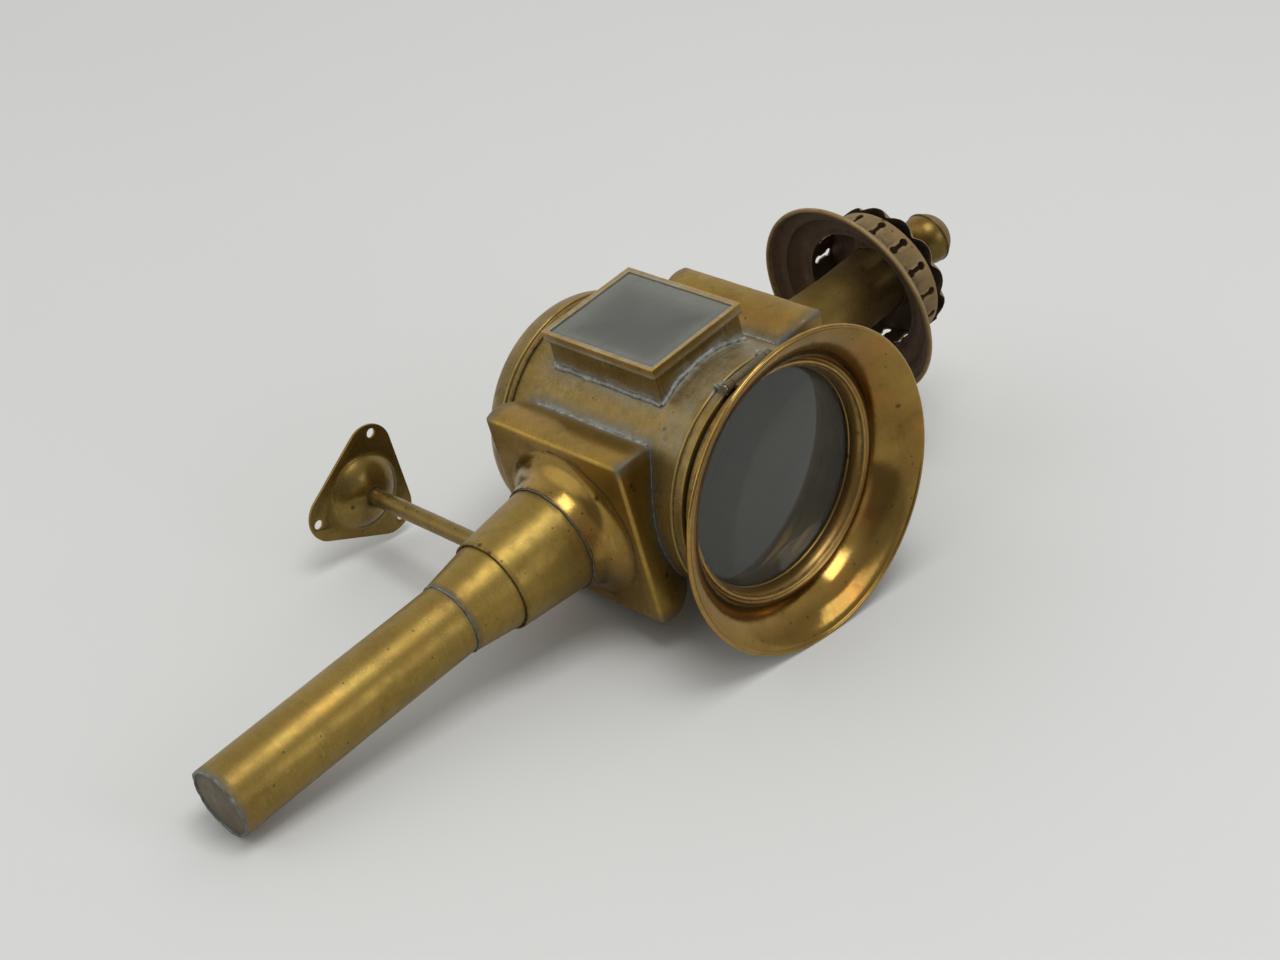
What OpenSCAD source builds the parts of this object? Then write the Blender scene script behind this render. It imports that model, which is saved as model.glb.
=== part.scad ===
// Carriage lamp with a bell-mouthed door, a side window and a spring candle tube, in millimetres.
// The origin is the centre of the bracket plate's back face, which is screwed to the carriage.
// +Z is up, the front glass faces -Y, the side window faces -X and the carriage is on the +Y side.

/* [Drum] */
// Outer diameter of the drum
drum_d = 112; // [106:1:118]
// Thickness of the sheet brass
sheet = 1; // [0.7:0.1:1.2]
// Candle axis to the drum's front edge
drum_front = 62.5; // [60:0.5:66]
// Candle axis to the drum's back edge
drum_back = 57; // [54:0.5:62]
// Width of the front ring
ring_w = 7; // [6:0.5:9]
// Stand of the front ring past the drum's front edge
ring_lip = 0.2; // [0.1:0.1:1.5]
// Thickness of the wired beads on the rings and rims
bead_d = 2.2; // [1.8:0.1:2.6]
// Depth of the domed back
dome_depth = 27; // [23:0.5:34]
// Radius of the domed back's shoulder
dome_shoulder = 18; // [12:0.5:20]
// Lap of the domed back over the drum
dome_lap = 5; // [4:0.5:8]
// Candle axis to the reflector's flange
reflector_at = 36; // [34:0.5:42]
// Depth of the reflector's dish
reflector_depth = 12; // [6:0.5:16]
// Width of the reflector's flange
reflector_flange = 5; // [3:0.5:8]

/* [Pans] */
// Drum axis to the flat face of each square pan
pan_reach = 67; // [64:0.5:72]
// Width of a pan's flat face
pan_face_w = 86.6; // [82:0.2:90]
// Width between a pan's sides where they meet the drum
pan_root_w = 74; // [70:0.5:80]
// Swell of a pan's rounded sides
pan_swell = 3.5; // [2:0.1:4.5]
// Radius of the edge between a pan's face and its sides
pan_edge_r = 1.8; // [1.4:0.1:2.4]

/* [Collar and candle socket] */
// Diameter of the collar on the lower pan
collar_d = 78.4; // [72:0.2:82]
// Height of the collar
collar_h = 14; // [11:0.5:18]
// Swell of the collar's rounded wall
collar_swell = 4; // [2:0.1:5]
// Outer diameter of the socket where it leaves the collar
socket_top_d = 52; // [49:0.5:56]
// Outer diameter of the socket's mouth
socket_mouth_d = 45.2; // [44:0.2:48]
// Length of the socket below the collar
socket_l = 37.5; // [32:0.5:44]

/* [Candle tube] */
// Outer diameter of the candle tube
tube_d = 34; // [30:0.5:36]
// Drum axis to the candle tube's lower end
tube_drop = 274; // [250:1:300]
// Drum axis to the candle tube's upper end
tube_top_drop = 50; // [44:1:58]
// Length of the cone below the socket's mouth
cone_l = 24.5; // [16:0.5:32]
// Thickness of the cone's lower edge
cone_edge = 0.5; // [0.3:0.1:0.8]
// Length of the plug inside the socket
plug_l = 24; // [14:0.5:30]
// Gap between the plug and the socket's mouth
plug_clear = 0.3; // [0.2:0.05:0.6]
// Thickness of the disc in the tube's lower end
end_t = 1.6; // [1:0.1:3]
// Depth of the candle cap's skirt over the tube
cap_skirt = 10; // [6:0.5:14]
// Height of the candle cap's nozzle
cap_nozzle = 5; // [3:0.5:8]
// Diameter of the hole that the candle burns in
wick_hole_d = 17; // [12:0.5:22]
// Height of the candle follower
follower_h = 12; // [8:0.5:18]
// Gap between the follower and the tube
follower_clear = 0.4; // [0.3:0.05:0.6]
// Thickness of the spring's wire
spring_wire = 1.8; // [1.2:0.1:2.2]
// Mean diameter of the spring
spring_d = 25; // [20:0.5:26]
// Turns of the spring
spring_turns = 16; // [10:1:20]

/* [Door and hood] */
// Gap between the front ring and the closed door
door_gap = 3.6; // [3:0.1:4]
// Depth of the door's spigot behind its flange
spigot_l = 11; // [10.5:0.1:12]
// Gap between the spigot and the drum
spigot_clear = 0.8; // [0.7:0.05:1]
// Set of the glass behind the flange
glass_set = 6.5; // [6:0.1:7]
// Width of the bezel's inner bead over the glass
bezel_w = 2.2; // [1.6:0.1:3.2]
// Thickness of the front glass
glass_t = 2.4; // [1.8:0.2:2.8]
// Diameter of the hood's rim
hood_d = 152; // [142:1:164]
// Length of the hood from the flange to its rim
hood_l = 18.7; // [16:0.1:24]
// Straight length of the hood's neck
hood_neck = 2; // [1.9:0.1:3]
// Swell of the hood's flare towards the axis
hood_swell = 2.8; // [2:0.1:3.6]
// Stand of the hood's neck outside the drum
neck_stand = 2; // [1.6:0.1:3]
// Radius of the finger tab on the door
tab_r = 7; // [5:0.5:10]

/* [Hinge] */
// Diameter of the hinge pin
pin_d = 2; // [1.6:0.1:2.4]
// Diameter of the hinge knuckles
knuckle_d = 4.4; // [4:0.1:5]
// Length of the door's knuckle
knuckle_l = 21; // [16:0.5:26]
// Width of each hinge lug
lug_w = 3.5; // [2.5:0.1:5]
// Gap between the door's knuckle and a lug
lug_gap = 0.3; // [0.2:0.05:0.5]
// Gap between the front ring and the knuckles
knuckle_gap = 0.3; // [0.3:0.05:0.6]
// Running gap between the pin and the door's knuckle
pin_clear = 0.05; // [0.02:0.01:0.1]

/* [Side window] */
// Width of the window frame along the drum
win_w = 71.6; // [64:0.2:76]
// Height of the window frame
win_h = 57; // [50:0.2:62]
// Drum axis to the outside of the window frame
win_reach = 68.8; // [66:0.2:74]
// Depth of the window frame
frame_depth = 5.5; // [4.5:0.1:8]
// Width of the frame's lip over the pane
frame_lip = 2.4; // [2.2:0.1:4]
// Overhang of the frame past the window box
frame_over = 1.5; // [1.4:0.1:1.8]
// Thickness of the window pane
pane_t = 2; // [1.6:0.1:2.6]
// Gap around the pane in its frame
pane_clear = 0.2; // [0.1:0.05:0.3]

/* [Flue and cap] */
// Outer diameter of the flue at its foot
flue_foot_d = 45; // [42:0.5:48]
// Outer diameter of the flue's top
flue_top_d = 34; // [33:0.2:36]
// Rise of the flue's top above the gallery's top
flue_rise = 1.5; // [0.5:0.1:3]
// Height of the flue's flared foot
flue_flare = 58; // [40:1:66]
// Hollow of the flue's flare towards the axis
flue_swell = 1.4; // [0.6:0.1:2]
// Width of the flue's foot flange
flue_flange = 4; // [2:0.5:6]
// Diameter of the skirt's rim
skirt_d = 104; // [96:1:112]
// Height of the skirt from its rim to the gallery's foot
skirt_h = 12.5; // [11:0.1:15]
// Diameter at the skirt's step
skirt_step_d = 87; // [82:0.5:90]
// Height of the step above the rim
skirt_step_h = 6.5; // [5:0.1:8]
// Swell of the skirt's two tiers
skirt_swell = 1.6; // [1:0.1:2.2]
// Outer diameter of the pierced gallery
gallery_d = 67.2; // [64:0.2:72]
// Height of the gallery
gallery_h = 16.2; // [15.4:0.1:18]
// Drum axis to the gallery's top
gallery_top = 150.5; // [148:0.1:152]
// Lap of the skirt's collar inside the gallery
skirt_lap = 1.3; // [1:0.1:1.4]
// Number of piercings in the gallery
piercings = 15; // [12:1:18]
// Turn of the first piercing from the side away from the window
pierce_turn = 4.5; // [0:0.5:30]
// Length of a piercing
pierce_l = 11.6; // [9:0.1:12]
// Diameter of a piercing's round ends
pierce_d = 4.2; // [3.4:0.1:4.8]
// Width of a piercing's waist
pierce_waist = 2.3; // [1.4:0.1:2.8]
// Number of flutes on the crown
flutes = 13; // [10:1:16]
// Height of a flute's arch at the crown's edge
flute_h = 4.6; // [3:0.1:7]
// Rise of the crown above the gallery
crown_h = 18.8; // [16:0.1:24]
// Overhang of the crown past the gallery
crown_over = 0.5; // [0.2:0.1:1]
// Set of the cap's ring below the gallery's top
stay_set = 0.3; // [0.2:0.1:0.5]
// Height of the ring's collar round the flue
stay_tab = 5; // [3:0.5:7]

/* [Finial] */
// Diameter of the finial's knob
finial_d = 26; // [22:0.5:30]
// Diameter of the finial's neck
finial_neck_d = 15; // [12:0.5:18]
// Height of the finial's neck
finial_neck_h = 2.4; // [1:0.2:4]
// Height of the knob's lower bowl
finial_bowl_h = 10.5; // [9:0.5:14]
// Height of the knob's upper dome
finial_dome_h = 10.8; // [8:0.2:12.4]

/* [Bracket] */
// Bracket plate's back face to the candle axis
bracket_reach = 114; // [108:1:130]
// Drum axis to the bracket arm
bracket_drop = 100; // [95:1:106]
// Diameter of the bracket arm
arm_d = 8.4; // [7:0.2:10]
// Pitch circle of the screw holes
plate_pcd = 57; // [54:0.5:59]
// Diameter of the screw holes
screw_d = 4.6; // [4:0.1:5.4]
// Radius of the plate's rounded corners
corner_r = 13; // [11:0.5:15]
// Bracket axis to the plate's corners
corner_reach = 33; // [32.5:0.5:36]
// Thickness of the bracket plate
plate_t = 1.5; // [1.2:0.1:2.2]
// Diameter of the plate's pressed dome
plate_dome_d = 37; // [32:0.5:40]
// Height of the plate's pressed dome
plate_dome_h = 9; // [7:0.5:10]
// Radius between the plate and its dome
plate_blend_r = 4; // [2:0.5:5]

/* [Hidden] */
$fn = 96;
arc_steps = 14;
// Film of solder between pieces that are soldered together
film = 0.1;
// Gap left under a piece that a spring or a candle presses home
seat_gap = 0.3;
// Extra length that carries a cut past the faces it passes through
past = 1;

brass = [0.66, 0.50, 0.20];
dull_brass = [0.42, 0.32, 0.18];
bright_brass = [0.75, 0.58, 0.24];
smoky_glass = [0.35, 0.37, 0.37, 0.6];
silver = [0.75, 0.75, 0.73];
steel = [0.5, 0.5, 0.52];

drum_r = drum_d / 2;
drum_in = drum_r - sheet;
ring_out = drum_r + film + sheet;
ring_front = drum_front + ring_lip;
bead_r = bead_d / 2;

// Crown radius of the domed back, tangent to its shoulder
dome_crown_r = ((ring_out - dome_shoulder)^2 + dome_depth^2 - dome_shoulder^2)
  / (2 * (dome_depth - dome_shoulder));
dome_crown_at = drum_back + dome_depth - dome_crown_r;
dome_turn = atan2(drum_back - dome_crown_at, ring_out - dome_shoulder);

// A pan's side is one arc from the edge of its face to the drum
pan_face = [pan_face_w / 2, pan_reach];
pan_root = [pan_root_w / 2, sqrt(drum_r^2 - (pan_root_w / 2)^2)];
pan_side_r = arc_radius(pan_face, pan_root, pan_swell);
pan_side_at = arc_center(pan_root, pan_face, -pan_swell);

socket_top = -(pan_reach + collar_h);
socket_mouth = socket_top - socket_l;
socket_slope = (socket_top_d - socket_mouth_d) / 2 / socket_l;
plug_r = socket_mouth_d / 2 - sheet - plug_clear;
plug_top = socket_mouth + plug_l;
tube_r = tube_d / 2;
tube_in = tube_r - sheet;
tube_top = -tube_top_drop;
tube_foot = -tube_drop;
cone_foot = socket_mouth - cone_l;
candle_way_r = plug_r + past;
follower_top = tube_top - seat_gap;
spring_foot = tube_foot + end_t + seat_gap + spring_wire / 2;
spring_head = follower_top - sheet - seat_gap - spring_wire / 2;

flange_back = ring_front + door_gap;
flange_front = flange_back + sheet;
spigot_out = drum_in - spigot_clear;
spigot_in = spigot_out - sheet;
neck_out = drum_r + neck_stand;
neck_in = neck_out - sheet;
rim_front = flange_front + hood_l;
glass_front = flange_back - glass_set;
glass_back = glass_front - glass_t;
glass_r = spigot_in - film;
bezel_r = spigot_in - bezel_w;
bezel_bead = (bezel_w - film) / 2;
neck_bead = (neck_in - film - spigot_in) / 2;
retainer_r = 0.9;

pin_r = pin_d / 2;
knuckle_r = knuckle_d / 2;
hinge_x = -(ring_out + knuckle_gap + knuckle_r);
hinge_front = (ring_front + flange_back) / 2;
lug_start = knuckle_l / 2 + lug_gap;

pane_out = win_reach - sheet - film;
box_out = pane_out - pane_t - film;
box_w = win_w - 2 * frame_over;
box_h = win_h - 2 * frame_over;

gallery_r = gallery_d / 2;
gallery_in = gallery_r - sheet;
gallery_foot = gallery_top - gallery_h;
flue_foot = pan_reach + film;
flue_top = gallery_top + flue_rise;
flue_r = flue_top_d / 2;
skirt_at = gallery_foot - skirt_h;
skirt_neck_r = gallery_in - film;
skirt_rim = [skirt_d / 2 - bead_r, skirt_at + bead_r];
skirt_step = [skirt_step_d / 2, skirt_at + skirt_step_h];
skirt_head = [gallery_r, gallery_foot - film];
stay_head = gallery_top - stay_set;
crown_r = gallery_r + crown_over;
crown_foot = gallery_top + film;
crown_top_r = finial_neck_d / 2 + 1;
crown_wall = 1.3 * sheet;
crown_top = crown_foot + crown_h;
finial_r = finial_d / 2;
finial_foot = crown_top + crown_wall + film;
finial_bowl_foot = finial_foot + finial_neck_h;
finial_seam = finial_bowl_foot + finial_bowl_h;

arm_r = arm_d / 2;
plate_dome_r = plate_dome_d / 2;
plate_ball_r = (plate_dome_r^2 + plate_dome_h^2) / (2 * plate_dome_h);
plate_ball_at = plate_t + plate_dome_h - plate_ball_r;
// Centre of the turned corner that blends the dome into the plate
plate_blend_rise = plate_t + plate_blend_r - plate_ball_at;
plate_blend_at = [
  sqrt((plate_ball_r + plate_blend_r)^2 - plate_blend_rise^2),
  plate_t + plate_blend_r
];
corner_at = corner_reach - corner_r;

// Radius and centre of the arc from p to q that swells to the left of its chord by s
function arc_radius(p, q, s) = (norm(q - p)^2 / 4 + s^2) / (2 * abs(s));
function arc_center(p, q, s) =
  let (chord = q - p, right = [chord[1], -chord[0]] / norm(chord))
  (p + q) / 2 + right * sign(s) * (arc_radius(p, q, s) - abs(s));

// Points on a circle about c from angle a to angle b
function turn(c, r, a, b, steps = arc_steps) =
  [for (i = [0:steps]) c + r * [cos(a + (b - a) * i / steps), sin(a + (b - a) * i / steps)]];

// Points on the arc from p to q that swells to the left of its chord by s, moved out from its centre by o
function bow(p, q, s, o = 0) =
  let (
    c = arc_center(p, q, s),
    a = atan2(p[1] - c[1], p[0] - c[0]),
    b = atan2(q[1] - c[1], q[0] - c[0]),
    d = b - a > 180 ? b - 360 : b - a < -180 ? b + 360 : b
  )
  turn(c, arc_radius(p, q, s) + o, a, d);

function reversed(list) = [for (i = [len(list) - 1:-1:0]) list[i]];

// The point where the drum's axis crosses the candle's axis
module at_lamp() {
  translate([0, -bracket_reach, bracket_drop])
    children();
}

// A profile of radius and forward distance, spun about the drum's axis
module spin_forward(angle = 360) {
  rotate([90, 0, 0])
    rotate_extrude(angle = angle)
      children();
}

module tube_forward(r_out, r_in, from, to) {
  spin_forward()
    translate([r_in, from])
      square([r_out - r_in, to - from]);
}

module rod_forward(r, from, to) {
  rotate([90, 0, 0])
    translate([0, 0, from])
      cylinder(r = r, h = to - from);
}

// The space of the drum with its solder film, which saddle-shaped edges are cut to
module drum_space() {
  rod_forward(drum_r + film, -2 * drum_d, 2 * drum_d);
}

module drum() {
  color(brass)
    at_lamp()
      difference() {
        tube_forward(drum_r, drum_in, -drum_back, drum_front);
        translate([-2 * drum_r, -box_w / 2 + sheet, -box_h / 2 + sheet])
          cube([2 * drum_r, box_w - 2 * sheet, box_h - 2 * sheet]);
        cylinder(r = flue_foot_d / 2 - sheet, h = drum_d);
        translate([0, 0, -drum_d])
          cylinder(r = candle_way_r, h = drum_d);
      }
}

// Band round the drum's mouth with a wired bead on its back edge
module front_ring() {
  color(brass)
    at_lamp()
      spin_forward()
        intersection() {
          translate([drum_r + film, ring_front - ring_w])
            square([2 * bead_d, ring_w]);
          union() {
            translate([drum_r, ring_front - ring_w])
              square([ring_out - drum_r, ring_w]);
            translate([ring_out, ring_front - ring_w + bead_r])
              circle(r = bead_r);
          }
        }
}

// Spun back: a lap over the drum, a bead, a tight shoulder and a shallow crown
module back_dome() {
  shoulder = [ring_out - dome_shoulder, drum_back];
  crown = [0, dome_crown_at];
  outside = concat(
    turn(shoulder, dome_shoulder, 0, dome_turn),
    turn(crown, dome_crown_r, dome_turn, 90)
  );
  inside = concat(
    turn(shoulder, dome_shoulder - sheet, 0, dome_turn),
    turn(crown, dome_crown_r - sheet, dome_turn, 90)
  );
  color(brass)
    at_lamp()
      mirror([0, 1, 0])
        spin_forward() {
          polygon(concat(
            [[drum_r + film, drum_back - dome_lap], [ring_out, drum_back - dome_lap]],
            outside,
            reversed(inside),
            [[drum_r + film, drum_back]]
          ));
          intersection() {
            translate([ring_out, drum_back - bead_r])
              circle(r = bead_r);
            translate([drum_r + film, drum_back - dome_lap])
              square([bead_d + sheet, dome_lap]);
          }
        }
}

// Silvered dish behind the flame
module reflector() {
  rim = [drum_in - film - reflector_flange, -reflector_at];
  bottom = [0, -reflector_at - reflector_depth];
  dish_r = (rim[0]^2 + reflector_depth^2) / (2 * reflector_depth);
  dish_at = [0, bottom[1] + dish_r];
  lean = acos(rim[0] / dish_r);
  color(silver)
    at_lamp()
      spin_forward()
        polygon(concat(
          [[drum_in - film, rim[1]], [drum_in - film, rim[1] - sheet]],
          [[rim[0], rim[1] - sheet]],
          turn(dish_at, dish_r + sheet, -lean - 1, -90),
          turn(dish_at, dish_r, -90, -lean)
        ));
}

// Section of a square pan: a flat face, two turned edges and two sides that swell in arcs, set in by t
module pan_section(t) {
  r = pan_side_r - t;
  edge_r = pan_edge_r - t;
  foot = atan2(pan_root[1] - pan_side_at[1], pan_root[0] - pan_side_at[0]);
  rise = pan_reach - t - edge_r - pan_side_at[1];
  head = asin(rise / (r - edge_r));
  edge_at = pan_side_at + [(r - edge_r) * cos(head), rise];
  side = concat(
    [[pan_side_at[0] + r * cos(foot), 0]],
    turn(pan_side_at, r, foot, head),
    turn(edge_at, edge_r, head, 90, 4)
  );
  polygon(concat(side, reversed([for (p = side) [-p[0], p[1]]])));
}

// Solid of a pan with mitred corners, set in by t
module pan_solid(t) {
  intersection() {
    rotate([90, 0, 0])
      linear_extrude(height = 2 * pan_face_w, center = true)
        pan_section(t);
    rotate([90, 0, 90])
      linear_extrude(height = 2 * pan_face_w, center = true)
        pan_section(t);
  }
}

// Square dish that is saddled on the drum, with a round way through its face
module pan(way_r) {
  difference() {
    pan_solid(0);
    pan_solid(sheet);
    drum_space();
    cylinder(r = way_r, h = 2 * pan_reach);
  }
}

module top_pan() {
  color(brass)
    at_lamp()
      pan(flue_foot_d / 2 - sheet);
}

module bottom_pan() {
  color(brass)
    at_lamp()
      mirror([0, 0, 1])
        pan(candle_way_r);
}

// Spun collar that covers the joint between the lower pan and the socket
module lower_collar() {
  foot = [collar_d / 2, -pan_reach - film];
  lip = [socket_top_d / 2 + film + sheet, socket_top];
  color(brass)
    at_lamp()
      rotate_extrude()
        polygon(concat(
          bow(foot, lip, -collar_swell),
          reversed(bow(foot, lip, -collar_swell, -sheet))
        ));
}

// Tapered socket that the candle tube plugs into
module candle_socket() {
  head = -pan_reach - film;
  head_r = socket_top_d / 2 + (head - socket_top) * socket_slope;
  color(brass)
    at_lamp()
      rotate_extrude()
        polygon([
          [socket_mouth_d / 2 - sheet, socket_mouth],
          [socket_mouth_d / 2, socket_mouth],
          [head_r, head],
          [head_r - sheet, head]
        ]);
}

// Four walls that carry the window out from the drum
module window_box() {
  color(brass)
    at_lamp()
      difference() {
        translate([-box_out, -box_w / 2, -box_h / 2])
          cube([box_out, box_w, box_h]);
        translate([-box_out - past, -box_w / 2 + sheet, -box_h / 2 + sheet])
          cube([box_out + 2 * past, box_w - 2 * sheet, box_h - 2 * sheet]);
        drum_space();
      }
}

// Folded frame whose lip holds the pane on the box
module window_frame() {
  color(brass)
    at_lamp()
      difference() {
        translate([-win_reach, -win_w / 2, -win_h / 2])
          cube([frame_depth, win_w, win_h]);
        translate([-win_reach + sheet, -win_w / 2 + sheet, -win_h / 2 + sheet])
          cube([frame_depth, win_w - 2 * sheet, win_h - 2 * sheet]);
        translate([-win_reach - past, -win_w / 2 + frame_lip, -win_h / 2 + frame_lip])
          cube([frame_depth, win_w - 2 * frame_lip, win_h - 2 * frame_lip]);
      }
}

module window_glass() {
  inset = sheet + pane_clear;
  color(smoky_glass)
    at_lamp()
      translate([-pane_out, -win_w / 2 + inset, -win_h / 2 + inset])
        cube([pane_t, win_w - 2 * inset, win_h - 2 * inset]);
}

// Flue with a flared and turned-out foot on the upper pan
module flue() {
  foot = [flue_foot_d / 2, flue_foot + sheet];
  neck = [flue_r, foot[1] + flue_flare];
  color(brass)
    at_lamp()
      rotate_extrude()
        polygon(concat(
          [
            [foot[0] - sheet, flue_foot],
            [foot[0] + flue_flange, flue_foot],
            [foot[0] + flue_flange, foot[1]]
          ],
          bow(foot, neck, flue_swell),
          [[flue_r, flue_top], [flue_r - sheet, flue_top]],
          [for (p = reversed(bow(foot, neck, flue_swell))) p - [sheet, 0]]
        ));
}

// Flat ring that carries the cap on the flue, with a collar turned down round it
module cap_stays() {
  bore_r = flue_r + film;
  color(dull_brass)
    at_lamp()
      rotate_extrude()
        polygon([
          [bore_r, stay_head - stay_tab],
          [bore_r + sheet, stay_head - stay_tab],
          [bore_r + sheet, stay_head - sheet],
          [gallery_in - film, stay_head - sheet],
          [gallery_in - film, stay_head],
          [bore_r, stay_head]
        ]);
}

// Two-tiered skirt with a wired rim and a collar that fits inside the gallery
module skirt() {
  lower = bow(skirt_rim, skirt_step, -skirt_swell);
  upper = bow(skirt_step, skirt_head, -skirt_swell);
  outside = concat(lower, upper);
  drop = sheet * [-0.6, -0.9];
  inside = [for (p = outside) p + drop];
  lap_top = gallery_foot + skirt_lap;
  color(dull_brass)
    at_lamp()
      rotate_extrude() {
        polygon(concat(
          outside,
          [
            [skirt_neck_r, skirt_head[1]],
            [skirt_neck_r, lap_top],
            [skirt_neck_r - sheet, lap_top],
            [skirt_neck_r - sheet, skirt_head[1] + drop[1]]
          ],
          reversed(inside)
        ));
        translate([skirt_d / 2 - bead_r, skirt_at + bead_r])
          circle(r = bead_r);
      }
}

// One piercing: two round ends joined by a narrow waist
module piercing() {
  between = pierce_l - pierce_d;
  rotate([0, 90, 0])
    for (end = [-1, 1])
      translate([end * between / 2, 0, 0])
        translate([0, 0, gallery_in - past])
          cylinder(d = pierce_d, h = sheet + 2 * past);
  translate([gallery_in - past, -pierce_waist / 2, -between / 2])
    cube([sheet + 2 * past, pierce_waist, between]);
}

// Pierced band that lets the smoke out
module gallery() {
  middle = (gallery_foot + skirt_lap + gallery_top) / 2;
  color(dull_brass)
    at_lamp()
      difference() {
        translate([0, 0, gallery_foot])
          difference() {
            cylinder(r = gallery_r, h = gallery_h);
            translate([0, 0, -past])
              cylinder(r = gallery_in, h = gallery_h + 2 * past);
          }
        for (i = [0:piercings - 1])
          rotate(pierce_turn + 360 * i / piercings)
            translate([0, 0, middle])
              piercing();
      }
}

// Fluted crown: the arches of its edge stand over the gallery and leave vents
module crown() {
  per_flute = 8;
  around = flutes * per_flute;
  rings = 5;
  function arch(j) = pow(sin(180 * (j % per_flute) / per_flute), 0.75);
  function rim_share(i) = 1 - i / rings;
  function radius(i) = crown_top_r + (crown_r - crown_top_r) * rim_share(i);
  function height(i, j) = crown_foot + crown_h * (1 - rim_share(i)) + flute_h * rim_share(i) * arch(j);
  function ring(i, drop) = [
    for (j = [0:around - 1])
      [radius(i) * cos(360 * j / around), radius(i) * sin(360 * j / around), height(i, j) + drop]
  ];
  outer = [for (i = [0:rings]) each ring(i, crown_wall)];
  inner = [for (i = [0:rings]) each ring(i, 0)];
  below = len(outer);
  middle = 2 * below;
  last = rings * around;
  color(dull_brass)
    at_lamp()
      polyhedron(
        points = concat(outer, inner, [[0, 0, crown_top + crown_wall], [0, 0, crown_top]]),
        faces = concat(
          [for (i = [0:rings - 1], j = [0:around - 1])
            let (a = i * around + j, b = i * around + (j + 1) % around)
            each [[a, b + around, b], [a, a + around, b + around]]],
          [for (i = [0:rings - 1], j = [0:around - 1])
            let (a = below + i * around + j, b = below + i * around + (j + 1) % around)
            each [[a, b, b + around], [a, b + around, a + around]]],
          [for (j = [0:around - 1])
            let (k = (j + 1) % around)
            each [[j, k, below + k], [j, below + k, below + j]]],
          [for (j = [0:around - 1])
            let (a = last + j, b = last + (j + 1) % around)
            each [[a, middle, b], [below + a, below + b, middle + 1]]]
        )
      );
}

// Neck and lower bowl of the knob, whose wall stands upright at the seam
module finial_bowl() {
  neck = [finial_neck_d / 2, finial_bowl_foot];
  seam = [finial_r, finial_seam];
  spread = seam[0] - neck[0];
  wall_r = (spread^2 + finial_bowl_h^2) / (2 * spread);
  swell = wall_r - sqrt(wall_r^2 - (spread^2 + finial_bowl_h^2) / 4);
  color(bright_brass)
    at_lamp()
      rotate_extrude()
        polygon(concat(
          [[0, finial_foot + sheet], [0, finial_foot], [neck[0] + sheet, finial_foot]],
          bow(neck, seam, -swell),
          reversed(bow(neck, seam, -swell, -sheet)),
          [[neck[0] - sheet, finial_foot + sheet]]
        ));
}

// Upper dome of the knob, soldered to the bowl at the seam
module finial_dome() {
  seam = [finial_r, finial_seam + film];
  ball_r = (finial_r^2 + finial_dome_h^2) / (2 * finial_dome_h);
  ball_at = [0, seam[1] + finial_dome_h - ball_r];
  lean = atan2(seam[1] - ball_at[1], finial_r);
  lean_in = asin((seam[1] - ball_at[1]) / (ball_r - sheet));
  color(bright_brass)
    at_lamp()
      rotate_extrude()
        polygon(concat(
          turn(ball_at, ball_r, lean, 90),
          reversed(turn(ball_at, ball_r - sheet, lean_in, 90))
        ));
}

// Round arm from the socket to the bracket plate's dome
module bracket_arm() {
  arm_end = plate_t + plate_dome_h - 2 * sheet;
  color(brass)
    difference() {
      rod_forward(arm_r, arm_end, bracket_reach);
      at_lamp()
        translate([0, 0, socket_mouth])
          cylinder(
            r1 = socket_mouth_d / 2 + film,
            r2 = socket_top_d / 2 + film,
            h = socket_l
          );
    }
}

// Rounded triangle with its point down, a pressed dome and three screw holes
module bracket_plate() {
  function spoke(i, r) = r * [cos(270 + 120 * i), sin(270 + 120 * i)];
  flat = [for (i = [0:2]) each [
    spoke(i, corner_at) + corner_r * [cos(210 + 120 * i), sin(210 + 120 * i)],
    spoke(i, corner_at) + corner_r * [cos(330 + 120 * i), sin(330 + 120 * i)]
  ]];
  lean = asin(plate_blend_rise / (plate_ball_r + plate_blend_r));
  ball = [0, plate_ball_at];
  flat_r = plate_blend_at[0];
  color(brass)
    difference() {
      union() {
        difference() {
          rotate([90, 0, 0])
            linear_extrude(height = plate_t) {
              polygon(flat);
              for (i = [0:2])
                translate(spoke(i, corner_at))
                  circle(r = corner_r);
            }
          rod_forward(flat_r + plate_t / 4, -past, plate_t + past);
        }
        spin_forward()
          polygon(concat(
            [[flat_r + plate_t / 2, plate_t]],
            turn(plate_blend_at, plate_blend_r, 270, 180 + lean),
            turn(ball, plate_ball_r, lean, 90),
            reversed(turn(ball, plate_ball_r - plate_t, lean, 90)),
            reversed(turn(plate_blend_at, plate_blend_r + plate_t, 270, 180 + lean)),
            [[flat_r + plate_t / 2, 0]]
          ));
      }
      rod_forward(arm_r + film, plate_t, bracket_reach);
      for (i = [0:2])
        translate([spoke(i, plate_pcd / 2)[0], 0, spoke(i, plate_pcd / 2)[1]])
          rod_forward(screw_d / 2, -past, plate_t + past);
    }
}

// Two lugs on the front ring that hold the hinge pin
module hinge_lugs() {
  lug_back = hinge_front - 6;
  color(brass)
    at_lamp()
      for (side = [0, 1])
        mirror([0, 0, side])
          difference() {
            union() {
              translate([hinge_x, -hinge_front, lug_start])
                cylinder(r = knuckle_r, h = lug_w);
              translate([hinge_x, -hinge_front, lug_start])
                cube([knuckle_d, hinge_front - lug_back, lug_w]);
            }
            translate([hinge_x, -hinge_front, 0])
              cylinder(r = pin_r + film / 5, h = drum_d);
            rod_forward(ring_out + film, 0, drum_d);
          }
}

module hinge_pin() {
  half = lug_start + lug_w + film;
  color(steel)
    at_lamp()
      translate([hinge_x, -hinge_front, 0]) {
        translate([0, 0, -half])
          cylinder(r = pin_r, h = 2 * half);
        for (end = [-half - sheet, half])
          translate([0, 0, end])
            cylinder(r = pin_r + 0.6, h = sheet);
      }
}

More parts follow.
